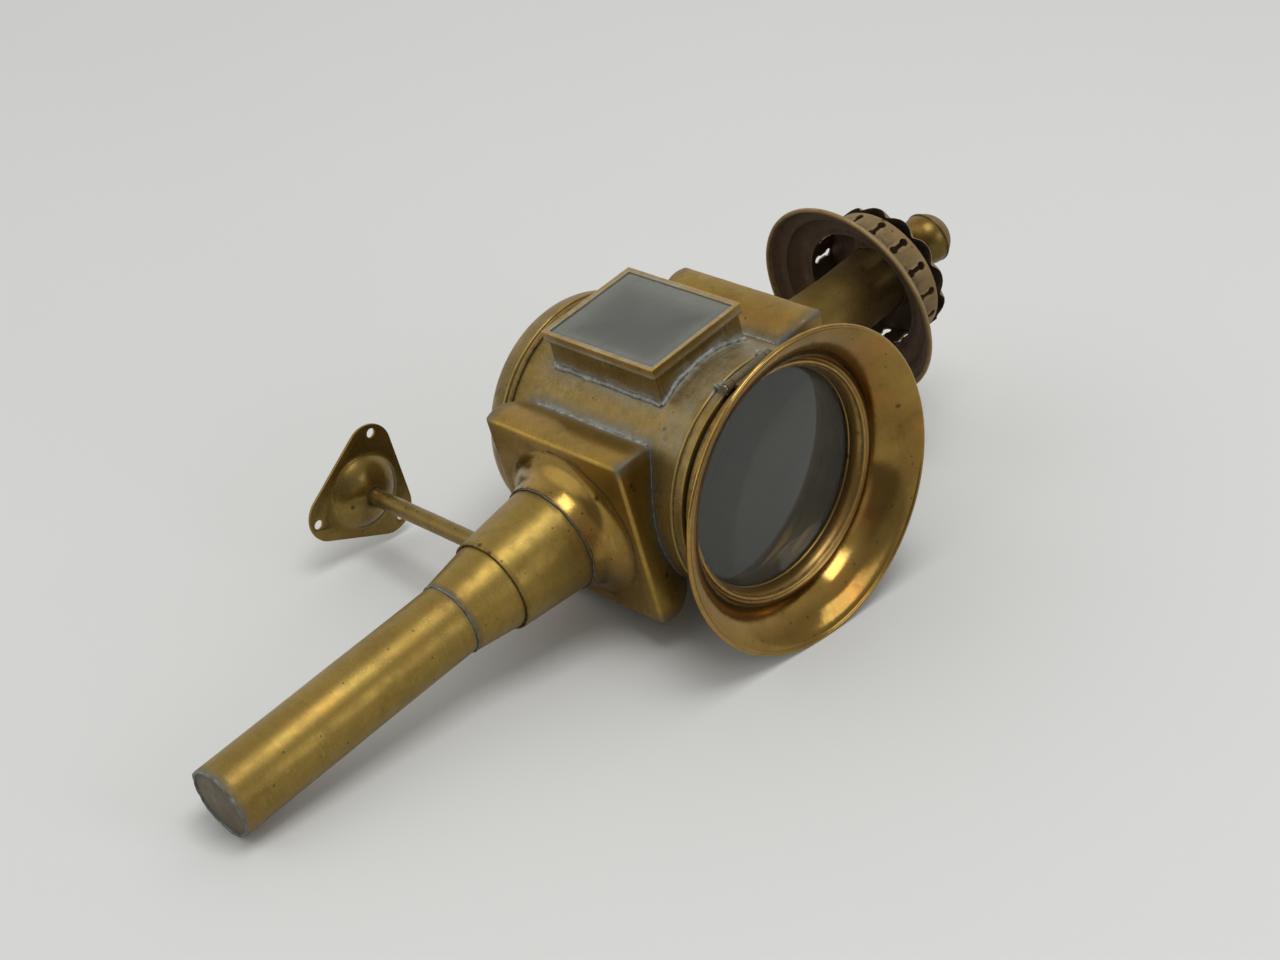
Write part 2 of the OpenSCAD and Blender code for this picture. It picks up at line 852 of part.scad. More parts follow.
// Ring with the spigot that closes the drum and the flange that carries the hood
module door_ring() {
  color(brass)
    at_lamp()
      spin_forward()
        polygon([
          [spigot_in, flange_back - spigot_l],
          [spigot_out, flange_back - spigot_l],
          [spigot_out, flange_back],
          [neck_out, flange_back],
          [neck_out, flange_front],
          [spigot_in, flange_front]
        ]);
}

// Bell-mouthed hood with a straight neck and a wired rim
module hood() {
  foot = flange_front + film;
  start = flange_front + hood_neck;
  rim = [hood_d / 2 - bead_r, rim_front - bead_r];
  face = rim + bead_r * [cos(155), sin(155)];
  back = rim + bead_r * [cos(225), sin(225)];
  bead = turn(rim, bead_r, 155, -135);
  color(brass)
    at_lamp()
      spin_forward()
        polygon(concat(
          [[neck_in, foot]],
          bow([neck_in, start], face, hood_swell),
          [for (i = [1:arc_steps - 1]) bead[i]],
          reversed(bow([neck_out, start], back, hood_swell)),
          [[neck_out, foot]]
        ));
}

// Two concentric beads that frame the glass inside the hood
module glass_bezel() {
  inner_front = glass_front + film + bezel_bead;
  seat = flange_front + film;
  color(brass)
    at_lamp()
      spin_forward()
        intersection() {
          translate([bezel_r, glass_front + film])
            square([neck_in - film - bezel_r, 2 * drum_r]);
          union() {
            translate([bezel_r + bezel_bead, inner_front])
              circle(r = bezel_bead);
            translate([spigot_in - film - sheet, glass_front + film])
              square([sheet, seat - glass_front]);
            translate([spigot_in - film - sheet, seat])
              square([neck_in - spigot_in + sheet, sheet / 2]);
            intersection() {
              translate([neck_in - film - neck_bead, seat])
                circle(r = neck_bead);
              translate([0, seat])
                square([2 * drum_r, 2 * drum_r]);
            }
          }
        }
}

module front_glass() {
  color(smoky_glass)
    at_lamp()
      rod_forward(glass_r, glass_back, glass_front);
}

// Split wire ring sprung into the spigot behind the glass
module glass_retainer() {
  color(brass)
    at_lamp()
      rotate([0, 5, 0])
        spin_forward(angle = 350)
          translate([spigot_in - film - retainer_r, glass_back - film - retainer_r])
            circle(r = retainer_r);
}

// Long knuckle on the door, with the leaf that is soldered to the hood's neck
module hinge_knuckle() {
  leaf_front = flange_front + hood_neck;
  color(brass)
    at_lamp()
      difference() {
        union() {
          translate([hinge_x, -hinge_front, -knuckle_l / 2])
            cylinder(r = knuckle_r, h = knuckle_l);
          translate([hinge_x, -leaf_front, -knuckle_l / 2])
            cube([knuckle_d, leaf_front - hinge_front, knuckle_l]);
        }
        translate([hinge_x, -hinge_front, -knuckle_l])
          cylinder(r = pin_r + pin_clear, h = 2 * knuckle_l);
        rod_forward(neck_out + film, hinge_front, 2 * drum_d);
      }
}

// Half-moon tab for opening the door
module door_tab() {
  color(brass)
    at_lamp()
      difference() {
        translate([neck_out, 0, 0])
          rod_forward(tab_r, flange_back, flange_front);
        rod_forward(neck_out + film, 0, 2 * drum_d);
      }
}

module candle_tube() {
  color(brass)
    at_lamp()
      translate([0, 0, tube_foot])
        difference() {
          cylinder(r = tube_r, h = tube_top - tube_foot);
          translate([0, 0, -past])
            cylinder(r = tube_in, h = tube_top - tube_foot + 2 * past);
        }
}

// Cone soldered round the tube, and the plug above it that fits the socket
module tube_cone() {
  seat = tube_r + film;
  color(brass)
    at_lamp()
      rotate_extrude()
        polygon([
          [seat, cone_foot],
          [seat + cone_edge, cone_foot],
          [plug_r, socket_mouth],
          [plug_r, plug_top],
          [seat, plug_top],
          [seat, plug_top - sheet],
          [plug_r - sheet, plug_top - sheet],
          [plug_r - sheet, socket_mouth],
          [seat, cone_foot + cone_l / 4]
        ]);
}

// Disc soldered into the tube's lower end
module tube_end() {
  color(brass)
    at_lamp()
      translate([0, 0, tube_foot])
        cylinder(r = tube_in - film, h = end_t);
}

// Cap on the tube's top, with the nozzle that the candle burns in
module candle_cap() {
  seat = tube_r + film;
  foot = tube_top + film;
  wick_r = wick_hole_d / 2;
  color(brass)
    at_lamp()
      rotate_extrude()
        polygon([
          [seat, tube_top - cap_skirt],
          [seat + sheet, tube_top - cap_skirt],
          [seat + sheet, foot + sheet],
          [wick_r + sheet, foot + cap_nozzle],
          [wick_r, foot + cap_nozzle],
          [wick_r, foot + cap_nozzle - sheet],
          [tube_in, foot],
          [seat, foot]
        ]);
}

// Points of a ring of the spring's wire at turn u
function coil_ring(u, sides) =
  let (
    rise = (spring_head - spring_foot) / spring_turns,
    lean = atan2(rise, PI * spring_d),
    a = 360 * u,
    out = [cos(a), sin(a), 0],
    up = [sin(a) * sin(lean), -cos(a) * sin(lean), cos(lean)],
    at = out * spring_d / 2 + [0, 0, spring_foot + rise * u]
  )
  [for (k = [0:sides - 1]) at + spring_wire / 2 * (cos(360 * k / sides) * out + sin(360 * k / sides) * up)];

// Compression spring that pushes the candle up as it burns
module candle_spring() {
  sides = 6;
  per_turn = 8;
  rings = spring_turns * per_turn;
  last = rings * sides;
  echo(spring_gap = (spring_head - spring_foot) / spring_turns - spring_wire);
  color(steel)
    at_lamp()
      polyhedron(
        points = [for (i = [0:rings]) each coil_ring(i / per_turn, sides)],
        faces = concat(
          [for (i = [0:rings - 1], k = [0:sides - 1])
            let (a = i * sides + k, b = i * sides + (k + 1) % sides)
            each [[a, b, b + sides], [a, b + sides, a + sides]]],
          [for (k = [1:sides - 2]) each [[0, k + 1, k], [last, last + k, last + k + 1]]]
        )
      );
}

// Cup that the candle stands on, with the spring's head inside it
module candle_follower() {
  out = tube_in - follower_clear;
  color(brass)
    at_lamp()
      translate([0, 0, follower_top - follower_h])
        difference() {
          cylinder(r = out, h = follower_h);
          translate([0, 0, -past])
            cylinder(r = out - sheet, h = follower_h + past - sheet);
        }
}

drum();
front_ring();
back_dome();
reflector();
top_pan();
bottom_pan();
lower_collar();
candle_socket();
window_box();
window_frame();
window_glass();
flue();
cap_stays();
skirt();
gallery();
crown();
finial_bowl();
finial_dome();
bracket_arm();
bracket_plate();
hinge_lugs();
hinge_pin();
door_ring();
hood();
glass_bezel();
front_glass();
glass_retainer();
hinge_knuckle();
door_tab();
candle_tube();
tube_cone();
tube_end();
candle_cap();
candle_spring();
candle_follower();
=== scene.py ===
"""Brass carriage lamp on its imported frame: fine meshes, aged finishes, a pale table, soft light and the camera."""

import logging
import math
from collections.abc import Iterator, Sequence
from contextlib import contextmanager
from dataclasses import dataclass, field, replace
from enum import Enum
from functools import cache

import bmesh
import bpy
from mathutils import Matrix, Vector, kdtree


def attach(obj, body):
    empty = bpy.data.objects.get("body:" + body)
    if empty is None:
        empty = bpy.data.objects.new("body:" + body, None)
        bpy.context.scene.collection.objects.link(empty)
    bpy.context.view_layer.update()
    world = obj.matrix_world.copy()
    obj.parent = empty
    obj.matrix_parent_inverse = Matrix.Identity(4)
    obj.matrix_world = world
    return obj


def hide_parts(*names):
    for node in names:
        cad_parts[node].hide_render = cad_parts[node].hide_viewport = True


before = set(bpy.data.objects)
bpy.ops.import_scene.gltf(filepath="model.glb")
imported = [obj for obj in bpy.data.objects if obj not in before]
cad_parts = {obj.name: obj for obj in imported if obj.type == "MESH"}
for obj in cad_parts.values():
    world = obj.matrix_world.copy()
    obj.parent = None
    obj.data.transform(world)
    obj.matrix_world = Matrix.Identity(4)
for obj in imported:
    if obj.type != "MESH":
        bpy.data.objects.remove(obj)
log = logging.getLogger("carriage_lamp")

Point = tuple[float, float]
Place = tuple[float, float, float]
Colour = tuple[float, float, float]
Piece = bpy.types.Object
NodeTree = bpy.types.NodeTree
NodeSocket = bpy.types.NodeSocket

# Millimetres in a metre
MM = 1000

# Where the drum's axis crosses the candle's axis, in metres
LAMP: Place = (0.0, -0.114, 0.100)
# Corners of a square, the first repeated at the end
CORNERS = ((-1, -1), (1, -1), (1, 1), (-1, 1), (-1, -1))
# Sizes that several sub-assemblies share, in millimetres about that crossing
DRUM_R = 56.0
SHEET = 1.0
RING_OUT = 57.1
PAN_FACE = 67.0
FLUE_WAY = 21.5
CANDLE_WAY = 22.3
# Clearance between pieces that seat on each other
CLEAR = 0.1
# Distances in metres under which vertices join and slivers go
WELD = 1e-6
SLIVER = 1e-7
# Largest share of an edge that a turned corner takes
CORNER_SHARE = 0.45
# Radius in millimetres of the edge of cut sheet
HEM = 0.35
# Angle in degrees under which neighbouring faces count as flat
FLAT = 0.5
# Cosines beyond which a face looks towards the candle's axis, or down
INWARD = -0.35
DOWNWARD = -0.2
# Sizes in millimetres of the fine and the broad lumps in solder
LUMPS = (3.0, 9.0)


class Way(Enum):
    """Line that a spun piece turns about: its turn about X and its start."""

    CANDLE = (0.0, LAMP)
    DRUM = (math.pi / 2, LAMP)
    ARM = (math.pi / 2, (0.0, 0.0, 0.0))


# Outlines of spun pieces


def turn(centre: Point, radius: float, start: float, end: float, steps: int = 16) -> list[Point]:
    """Points on a circle.

    Args:
        centre: Centre of the circle.
        radius: Its radius.
        start: First angle in degrees.
        end: Last angle in degrees.
        steps: Number of steps between them.

    Returns:
        The points from start to end.
    """
    angles = [math.radians(start + (end - start) * i / steps) for i in range(steps + 1)]
    return [(centre[0] + radius * math.cos(a), centre[1] + radius * math.sin(a)) for a in angles]


def bow(p: Point, q: Point, swell: float, out: float = 0.0, steps: int = 18) -> list[Point]:
    """Points on the arc from p to q that swells to the left of its chord.

    Args:
        p: First point.
        q: Last point.
        swell: Height of the arc over its chord, negative to the right.
        out: Distance that the arc is moved out from its centre.
        steps: Number of steps along the arc.

    Returns:
        The points from p to q.
    """
    a, b = Vector(p), Vector(q)
    chord = b - a
    radius = (chord.length_squared / 4 + swell**2) / (2 * abs(swell))
    right = Vector((chord.y, -chord.x)).normalized()
    centre = (a + b) / 2 + right * math.copysign(radius - abs(swell), swell)
    start = math.degrees(math.atan2(a.y - centre.y, a.x - centre.x))
    end = math.degrees(math.atan2(b.y - centre.y, b.x - centre.x))
    if end - start > 180:
        end -= 360
    elif end - start < -180:
        end += 360
    return turn(tuple(centre), radius + out, start, end, steps)


def rounded(corners: Sequence[tuple[float, float, float]], steps: int = 4) -> list[Point]:
    """Closed outline whose corners are turned.

    Args:
        corners: Radius from the axis, place along it and corner radius of each corner.
        steps: Steps in each turned corner.

    Returns:
        The outline's points.
    """
    outline: list[Point] = []
    for i, (x, y, radius) in enumerate(corners):
        corner = Vector((x, y))
        before = Vector(corners[i - 1][:2]) - corner
        after = Vector(corners[(i + 1) % len(corners)][:2]) - corner
        if radius <= 0:
            outline.append((x, y))
            continue
        half = before.angle(after) / 2
        cut = min(radius / math.tan(half), CORNER_SHARE * before.length, CORNER_SHARE * after.length)
        before.normalize()
        after.normalize()
        centre = corner + (before + after).normalized() * (cut / math.cos(half))
        start = corner + before * cut - centre
        end = corner + after * cut - centre
        first = math.degrees(math.atan2(start.y, start.x))
        last = math.degrees(math.atan2(end.y, end.x))
        last += 360 if last - first < -180 else -360 if last - first > 180 else 0
        outline += turn(tuple(centre), start.length, first, last, steps)
    return outline


def stretched(outline: Sequence[Point], step: float) -> list[Point]:
    """Closed outline with extra points, so that none of its edges is longer than a step."""
    dense: list[Point] = []
    for p, q in zip(outline, [*outline[1:], outline[0]]):
        parts = max(1, math.ceil(math.dist(p, q) / step))
        dense += [(p[0] + (q[0] - p[0]) * k / parts, p[1] + (q[1] - p[1]) * k / parts) for k in range(parts)]
    return dense


def lamp_point(x: float, y: float, z: float) -> Vector:
    """Point about the lamp's crossing in millimetres, as metres in the row's frame."""
    return Vector((x, y, z)) / MM + Vector(LAMP)


# Modelling by operators


class Bench:
    """Modelling bench: adds, shapes and finishes one mesh at a time."""

    @staticmethod
    def clear() -> None:
        """Leave edit mode with nothing selected."""
        if bpy.context.object and bpy.context.object.mode != "OBJECT":
            bpy.ops.object.mode_set(mode="OBJECT")
        bpy.ops.object.select_all(action="DESELECT")

    @staticmethod
    def take(obj: Piece) -> None:
        """Select one object alone and make it active."""
        Bench.clear()
        obj.select_set(True)
        bpy.context.view_layer.objects.active = obj

    @staticmethod
    def named(name: str) -> Piece:
        """Name the object that was just added, and its mesh."""
        obj = bpy.context.object
        obj.name = obj.data.name = name
        return obj

    @staticmethod
    def plane(name: str, size: float) -> Piece:
        """Add a square plate of a size in metres."""
        Bench.clear()
        bpy.ops.mesh.primitive_plane_add(size=size)
        return Bench.named(name)

    @staticmethod
    @contextmanager
    def editing(obj: Piece) -> Iterator[None]:
        """Hold a piece in edit mode with all of it selected."""
        Bench.take(obj)
        bpy.ops.object.mode_set(mode="EDIT")
        bpy.ops.mesh.select_all(action="SELECT")
        yield
        bpy.ops.object.mode_set(mode="OBJECT")

    @staticmethod
    def wire(name: str, points: Sequence[Vector], closed: bool) -> Piece:
        """Draw a chain of edges by extruding one vertex.

        Args:
            name: Name of the object.
            points: Places of the vertices, in metres.
            closed: Whether an edge joins the last vertex to the first.

        Returns:
            The object, at the origin.
        """
        obj = Bench.plane(name, 1 / MM)
        with Bench.editing(obj):
            bpy.ops.mesh.select_mode(type="VERT")
            bpy.ops.mesh.select_all(action="SELECT")
            bpy.ops.mesh.merge(type="CENTER")
            bpy.ops.transform.translate(value=points[0])
            for start, end in zip(points, points[1:]):
                bpy.ops.mesh.extrude_vertices_move(TRANSFORM_OT_translate={"value": end - start})
            if closed:
                mesh = bmesh.from_edit_mesh(obj.data)
                mesh.verts.ensure_lookup_table()
                for vertex in (mesh.verts[0], mesh.verts[-1]):
                    vertex.select_set(True)
                bmesh.update_edit_mesh(obj.data)
                bpy.ops.mesh.edge_face_add()
        return obj

    @staticmethod
    def outward() -> None:
        """Turn all faces outwards, in edit mode."""
        bpy.ops.mesh.select_all(action="SELECT")
        bpy.ops.mesh.normals_make_consistent(inside=False)

    @staticmethod
    def weld() -> None:
        """Join doubles, drop loose bits and turn the faces outwards, in edit mode."""
        bpy.ops.mesh.select_all(action="SELECT")
        bpy.ops.mesh.remove_doubles(threshold=WELD)
        bpy.ops.mesh.dissolve_degenerate(threshold=SLIVER)
        bpy.ops.mesh.delete_loose()
        Bench.outward()

    @staticmethod
    def settle(obj: Piece, matrix: Matrix) -> None:
        """Move a piece to its place and put that place in its mesh."""
        Bench.take(obj)
        obj.matrix_world = matrix
        bpy.ops.object.transform_apply(location=True, rotation=True, scale=True)

    @staticmethod
    def spun(
        name: str, outline: Sequence[Point], way: Way, steps: int = 144,
        sharp: float | None = None, waves: Point | None = None,
    ) -> Piece:
        """Spin a closed outline into a wall.

        Args:
            name: Name of the object.
            outline: Radius and place along the axis of each point, in millimetres.
            way: The axis.
            steps: Number of facets round the axis.
            sharp: Angle in degrees over which an edge stays sharp.
            waves: Largest shift and size of its waves in millimetres.

        Returns:
            The object, in its place.
        """
        obj = Bench.wire(name, [Vector((r, 0, z)) / MM for r, z in outline], closed=True)
        with Bench.editing(obj):
            bpy.ops.mesh.spin(steps=steps, angle=2 * math.pi, center=(0, 0, 0), axis=(0, 0, 1))
            Bench.weld()
        tilt, start = way.value
        Bench.settle(obj, Matrix.Translation(start) @ Matrix.Rotation(tilt, 4, "X"))
        return Bench.finished(obj, sharp, waves)

    @staticmethod
    def copied(name: str, node: str, widen: float = 0.0, sharp: float | None = None) -> Piece:
        """Copy a solid of the frame as one welded mesh.

        Args:
            name: Name of the new object.
            node: The frame's node.
            widen: Width of the bevel on its sharp edges, in millimetres.
            sharp: Angle in degrees over which an edge stays sharp.

        Returns:
            The object, in its place.
        """
        obj = bpy.data.objects.new(name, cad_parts[node].data.copy())
        bpy.context.scene.collection.objects.link(obj)
        Bench.take(obj)
        bpy.ops.mesh.customdata_custom_splitnormals_clear()
        with Bench.editing(obj):
            bpy.ops.mesh.remove_doubles(threshold=2 * WELD)
            bpy.ops.mesh.dissolve_limited(angle_limit=math.radians(FLAT))
        if widen > 0:
            Bench.bevelled(obj, widen)
        return Bench.finished(obj, sharp)

    @staticmethod
    def modified(obj: Piece, kind: str, **settings: object) -> None:
        """Add a modifier with its settings and apply it."""
        Bench.take(obj)
        bpy.ops.object.modifier_add(type=kind)
        modifier = obj.modifiers[-1]
        for key, value in settings.items():
            setattr(modifier, key, value)
        bpy.ops.object.modifier_apply(modifier=modifier.name)

    @staticmethod
    def bevelled(obj: Piece, width: float, segments: int = 2, angle: float = 40.0) -> None:
        """Round the sharp edges by a width in millimetres."""
        Bench.modified(
            obj, "BEVEL", width=width / MM, segments=segments, limit_method="ANGLE",
            angle_limit=math.radians(angle), use_clamp_overlap=True, harden_normals=False,
        )

    @staticmethod
    def cut(obj: Piece, cutter: Piece) -> None:
        """Cut a piece with another, which is used up."""
        Bench.modified(obj, "BOOLEAN", object=cutter, operation="DIFFERENCE", solver="EXACT")
        bpy.data.objects.remove(cutter, do_unlink=True)

    @staticmethod
    def drill(obj: Piece, radius: float, start: Vector, end: Vector, sides: int = 96) -> None:
        """Cut a round way through a piece.

        Args:
            obj: The piece.
            radius: Radius of the way in millimetres.
            start: Its start in metres.
            end: Its end in metres.
            sides: Number of facets round it.
        """
        Bench.clear()
        bpy.ops.mesh.primitive_cylinder_add(vertices=sides, radius=radius / MM, depth=(end - start).length)
        cutter = Bench.named("cutter")
        facing = (end - start).to_track_quat("Z", "Y").to_matrix().to_4x4()
        Bench.settle(cutter, Matrix.Translation((start + end) / 2) @ facing)
        Bench.cut(obj, cutter)

    @staticmethod
    def block(low: Vector, high: Vector) -> Piece:
        """Square cutter between two corners in metres."""
        Bench.clear()
        bpy.ops.mesh.primitive_cube_add(size=1)
        obj = Bench.named("cutter")
        Bench.settle(obj, Matrix.Translation((low + high) / 2) @ Matrix.Diagonal((*(high - low), 1)))
        return obj

    @staticmethod
    def wobbled(obj: Piece, amount: float, grain: float) -> None:
        """Give hand-worked sheet its slight waves.

        Args:
            obj: The piece.
            amount: Largest shift in millimetres.
            grain: Size of a wave in millimetres.
        """
        waves = bpy.data.textures.new(f"{obj.name}_waves", "CLOUDS")
        waves.cloud_type = "COLOR"
        waves.noise_scale = grain / MM
        waves.noise_depth = 1
        Bench.modified(
            obj, "DISPLACE", texture=waves, texture_coords="LOCAL", direction="RGB_TO_XYZ",
            strength=2 * amount / MM, mid_level=0.5,
        )
        bpy.data.textures.remove(waves)

    @staticmethod
    def finished(obj: Piece, sharp: float | None, waves: Point | None = None) -> Piece:
        """Give a piece its waves and shade it smooth.

        Args:
            obj: The piece.
            sharp: Angle in degrees over which an edge stays sharp, or none to leave the piece as it is.
            waves: Largest shift and size of its waves in millimetres.

        Returns:
            The piece.
        """
        if waves:
            Bench.wobbled(obj, *waves)
        if sharp:
            Bench.take(obj)
            bpy.ops.object.shade_smooth_by_angle(angle=math.radians(sharp))
        return obj

    @staticmethod
    def bead(name: str, points: Sequence[Vector], radius: float, lumps: float, closed: bool = False) -> Piece:
        """Run a lumpy bead of solder along a line.

        Args:
            name: Name of the object.
            points: The line, in metres.
            radius: Radius of the bead in millimetres.
            lumps: Height of its lumps in millimetres.
            closed: Whether the line is a ring.

        Returns:
            The object, in its place.
        """
        obj = Bench.wire(name, points, closed)
        Bench.take(obj)
        bpy.ops.object.convert(target="CURVE")
        line = bpy.context.object
        line.data.bevel_depth = radius / MM
        line.data.bevel_resolution = 3
        line.data.use_fill_caps = True
        bpy.ops.object.convert(target="MESH")
        obj = Bench.named(name)
        fine, broad = LUMPS
        Bench.wobbled(obj, lumps, fine)
        return Bench.finished(obj, sharp=80, waves=(lumps * 0.8, broad))


# Shader nodes


def rgba(colour: Colour) -> tuple[float, float, float, float]:
    """Colour with full cover."""
    return (*colour, 1.0)


class Wiring:
    """Places and links shader nodes in one tree."""

    def __init__(self, tree: NodeTree) -> None:
        """Keep the tree.

        Args:
            tree: Node tree of a material, a world or a group.
        """
        self.tree = tree

    def node(self, kind: str, inputs: dict | None = None, **settings: object) -> bpy.types.Node:
        """Place a node.

        Args:
            kind: Type name without its ShaderNode prefix.
            inputs: Value or socket for each named or numbered input.
            **settings: Properties of the node.

        Returns:
            The node.
        """
        made = self.tree.nodes.new(kind if kind.startswith("NodeGroup") else f"ShaderNode{kind}")
        for key, value in settings.items():
            setattr(made, key, value)
        for key, value in (inputs or {}).items():
            if isinstance(value, NodeSocket):
                self.tree.links.new(value, made.inputs[key])
            else:
                made.inputs[key].default_value = value
        return made

    def out(self, kind: str, inputs: dict | None = None, key: int | str = 0, **settings: object) -> NodeSocket:
        """Output of a new node, the first unless a key says which."""
        return self.node(kind, inputs, **settings).outputs[key]

    def math(self, how: str, a: object, b: object = 0.0) -> NodeSocket:
        """Result of a math node, held between 0 and 1 for sums and products."""
        held = how in ("ADD", "MULTIPLY", "SUBTRACT")
        return self.out("Math", {0: a, 1: b}, operation=how, use_clamp=held)

    def plain(self, how: str, *values: object) -> NodeSocket:
        """Result of a math node that may pass 1."""
        return self.out("Math", dict(enumerate(values)), operation=how)

    def mix(self, share: object, a: object, b: object) -> NodeSocket:
        """Colour between a and b."""
        return self.out("Mix", {0: share, 6: a, 7: b}, data_type="RGBA", blend_type="MIX", key=2)

    def over(self, tone: object, mask: object, share: float, colour: Colour) -> NodeSocket:
        """Tone with a colour laid over it where a share of a mask is."""
        return self.mix(self.math("MULTIPLY", mask, share), tone, rgba(colour))

    def band(self, value: object, low: float, high: float, start: float = 0.0, end: float = 1.0) -> NodeSocket:
        """Value mapped from low..high to start..end."""
        limits = {"From Min": low, "From Max": high, "To Min": start, "To Max": end}
        return self.out("MapRange", {"Value": value, **limits}, key="Result")

    def noise(self, vector: object, scale: float, detail: float = 3.0, rough: float = 0.55) -> NodeSocket:
        """Grey noise of a scale per metre."""
        inputs = {"Vector": vector, "Scale": scale, "Detail": detail, "Roughness": rough}
        return self.out("TexNoise", inputs, key="Fac")


class Groups:
    """Shader groups that more than one finish uses, each built once."""

    @staticmethod
    def start(name: str, outputs: Sequence[str]) -> tuple[NodeTree, Wiring, NodeSocket, bpy.types.Node]:
        """Open a group with a Vector input.

        Args:
            name: Name of the group.
            outputs: Names of its value outputs.

        Returns:
            The group, its wiring, its vector and its output node.
        """
        tree = bpy.data.node_groups.new(name, "ShaderNodeTree")
        tree.interface.new_socket("Vector", in_out="INPUT", socket_type="NodeSocketVector")
        for output in outputs:
            tree.interface.new_socket(output, in_out="OUTPUT", socket_type="NodeSocketFloat")
        w = Wiring(tree)
        return tree, w, w.out("NodeGroupInput"), w.node("NodeGroupOutput")

    @staticmethod
    @cache
    def patina() -> NodeTree:
        """Age of metal: blotches, copper patches, stains, mottle, grain, specks, rubbing and scratches."""
        labels = ("Blotch", "Copper", "Stain", "Mottle", "Grain", "Specks", "Rub", "Scratch")
        tree, w, place, out = Groups.start("patina", labels)
        drift = w.out("TexNoise", {"Vector": place, "Scale": 9.0, "Detail": 2.0}, key="Color")
        shift = w.out("VectorMath", {0: drift, "Scale": 0.03}, operation="SCALE")
        bent = w.out("VectorMath", {0: place, 1: shift}, operation="ADD")
        aside = w.out("VectorMath", {0: bent, 1: (0.37, 0.19, 0.53)}, operation="ADD")

        def spots(scale: float, share: float, size: float) -> NodeSocket:
            """Round spots in some cells of a size."""
            cells = w.node("TexVoronoi", {"Vector": place, "Scale": scale, "Randomness": 1.0})
            few = w.math("GREATER_THAN", w.out("SeparateColor", {0: cells.outputs["Color"]}), 1 - share)
            return w.math("MULTIPLY", w.band(cells.outputs["Distance"], size, 0.3 * size), few)

        def streaks(turned: Place, long: float, low: float) -> NodeSocket:
            """Fine marks along one direction."""
            scale = (long, 1300.0, 1300.0)
            drawn = w.out("Mapping", {"Vector": bent, "Rotation": turned, "Scale": scale})
            return w.band(w.noise(drawn, 1.0, 1.5), low, low + 0.07)

        across = w.out("Mapping", {"Vector": bent, "Scale": (40.0, 900.0, 900.0)})
        along = w.out("Mapping", {"Vector": bent, "Scale": (900.0, 900.0, 40.0)})
        marks = w.math("MAXIMUM", streaks((0.3, 0.5, 0.8), 30.0, 0.63), streaks((1.1, -0.4, 0.2), 45.0, 0.64))
        made = {
            "Blotch": w.band(w.noise(bent, 24.0, 5.0, 0.6), 0.40, 0.68),
            "Copper": w.band(w.noise(aside, 33.0, 6.0, 0.62), 0.51, 0.66),
            "Stain": w.band(w.noise(aside, 85.0, 6.0, 0.68), 0.54, 0.70),
            "Mottle": w.band(w.noise(bent, 150.0, 5.0, 0.65), 0.34, 0.70),
            "Grain": w.band(w.noise(place, 1200.0, 3.0, 0.7), 0.36, 0.66),
            "Specks": w.math("MAXIMUM", spots(95.0, 0.20, 0.16), spots(270.0, 0.16, 0.20)),
            "Rub": w.math("MULTIPLY", w.noise(across, 1.0, 2.0), w.noise(along, 1.0, 2.0)),
            "Scratch": w.math("MULTIPLY", marks, w.band(w.noise(aside, 52.0, 3.0), 0.40, 0.62)),
        }
        for label in labels:
            tree.links.new(made[label], out.inputs[label])
        return tree

    @staticmethod
    @cache
    def broken_edge() -> NodeTree:
        """Cover whose edge is broken up by a fine and a coarse grain."""
        tree, w, place, out = Groups.start("broken_edge", ("Mask",))
        tree.interface.new_socket("Cover", in_out="INPUT", socket_type="NodeSocketFloat")
        cover = w.tree.nodes["Group Input"].outputs["Cover"]
        drawn = [
            w.noise(w.out("Mapping", {"Vector": place, "Scale": scale}), 1.0, 4.0, 0.65)
            for scale in ((420.0, 70.0, 420.0), (420.0, 420.0, 90.0))
        ]
        streak = w.band(w.math("MAXIMUM", *drawn), 0.40, 0.72, 0.25, 1.0)
        patch = w.band(w.noise(place, 75.0, 4.0, 0.6), 0.32, 0.66, 0.45, 1.15)
        broken = w.plain("MULTIPLY", streak, patch)
        thick = w.plain("MULTIPLY", cover, w.band(cover, 0.55, 1.0, 1.0, 1.5))
        ragged = w.plain("MULTIPLY", thick, broken)
        tree.links.new(w.math("MULTIPLY", ragged, 1.7), out.inputs["Mask"])
        return tree

    @staticmethod
    @cache
    def lathe_lines() -> NodeTree:
        """Fine rings left by spinning, about the vector's Z axis."""
        tree, w, place, out = Groups.start("lathe_lines", ("Lines",))
        parts = w.node("SeparateXYZ", {0: place}).outputs
        square = w.math("POWER", parts[0], 2.0), w.math("POWER", parts[1], 2.0)
        reach = w.plain("SQRT", w.plain("ADD", *square))
        flat = w.out("CombineXYZ", {0: reach, 1: parts[2], 2: 0.0})
        tree.links.new(w.noise(flat, 1400.0, 3.0, 0.7), out.inputs["Lines"])
        return tree


class Lines(Enum):
    """Direction of the fine lines that a piece was made with."""

    CANDLE = (0.0, 0.0, 0.0)
    DRUM = (math.pi / 2, 0.0, 0.0)


class Soil(Enum):
    """What gathers along a seam, and the shade and highlights painted along some lines."""

    PALE = "pale"
    # Dirt in joints, and painted shade in grooves, gaps and under overhangs
    DARK = "dark"
    LEAD = "lead"
    # Wear, and a painted highlight: edges brightened past the clean brass colour
    WORN_AND_SHEEN = "worn"


# Finishes


class Finish:
    """A surface: its material is built when it is first asked for."""

    name: str

    def material(self) -> bpy.types.Material:
        """Material of this finish, built once."""
        found = bpy.data.materials.get(self.name)
        if found:
            return found
        made = bpy.data.materials.new(self.name)
        made.use_nodes = True
        made.node_tree.nodes.clear()
        w = Wiring(made.node_tree)
        shader = self.shader(w)
        w.node("OutputMaterial", {"Surface": shader})
        return made

    def shader(self, w: Wiring) -> NodeSocket:
        """Wire the shader.

        Args:
            w: Wiring of the material.

        Returns:
            The shader's socket.
        """
        raise NotImplementedError


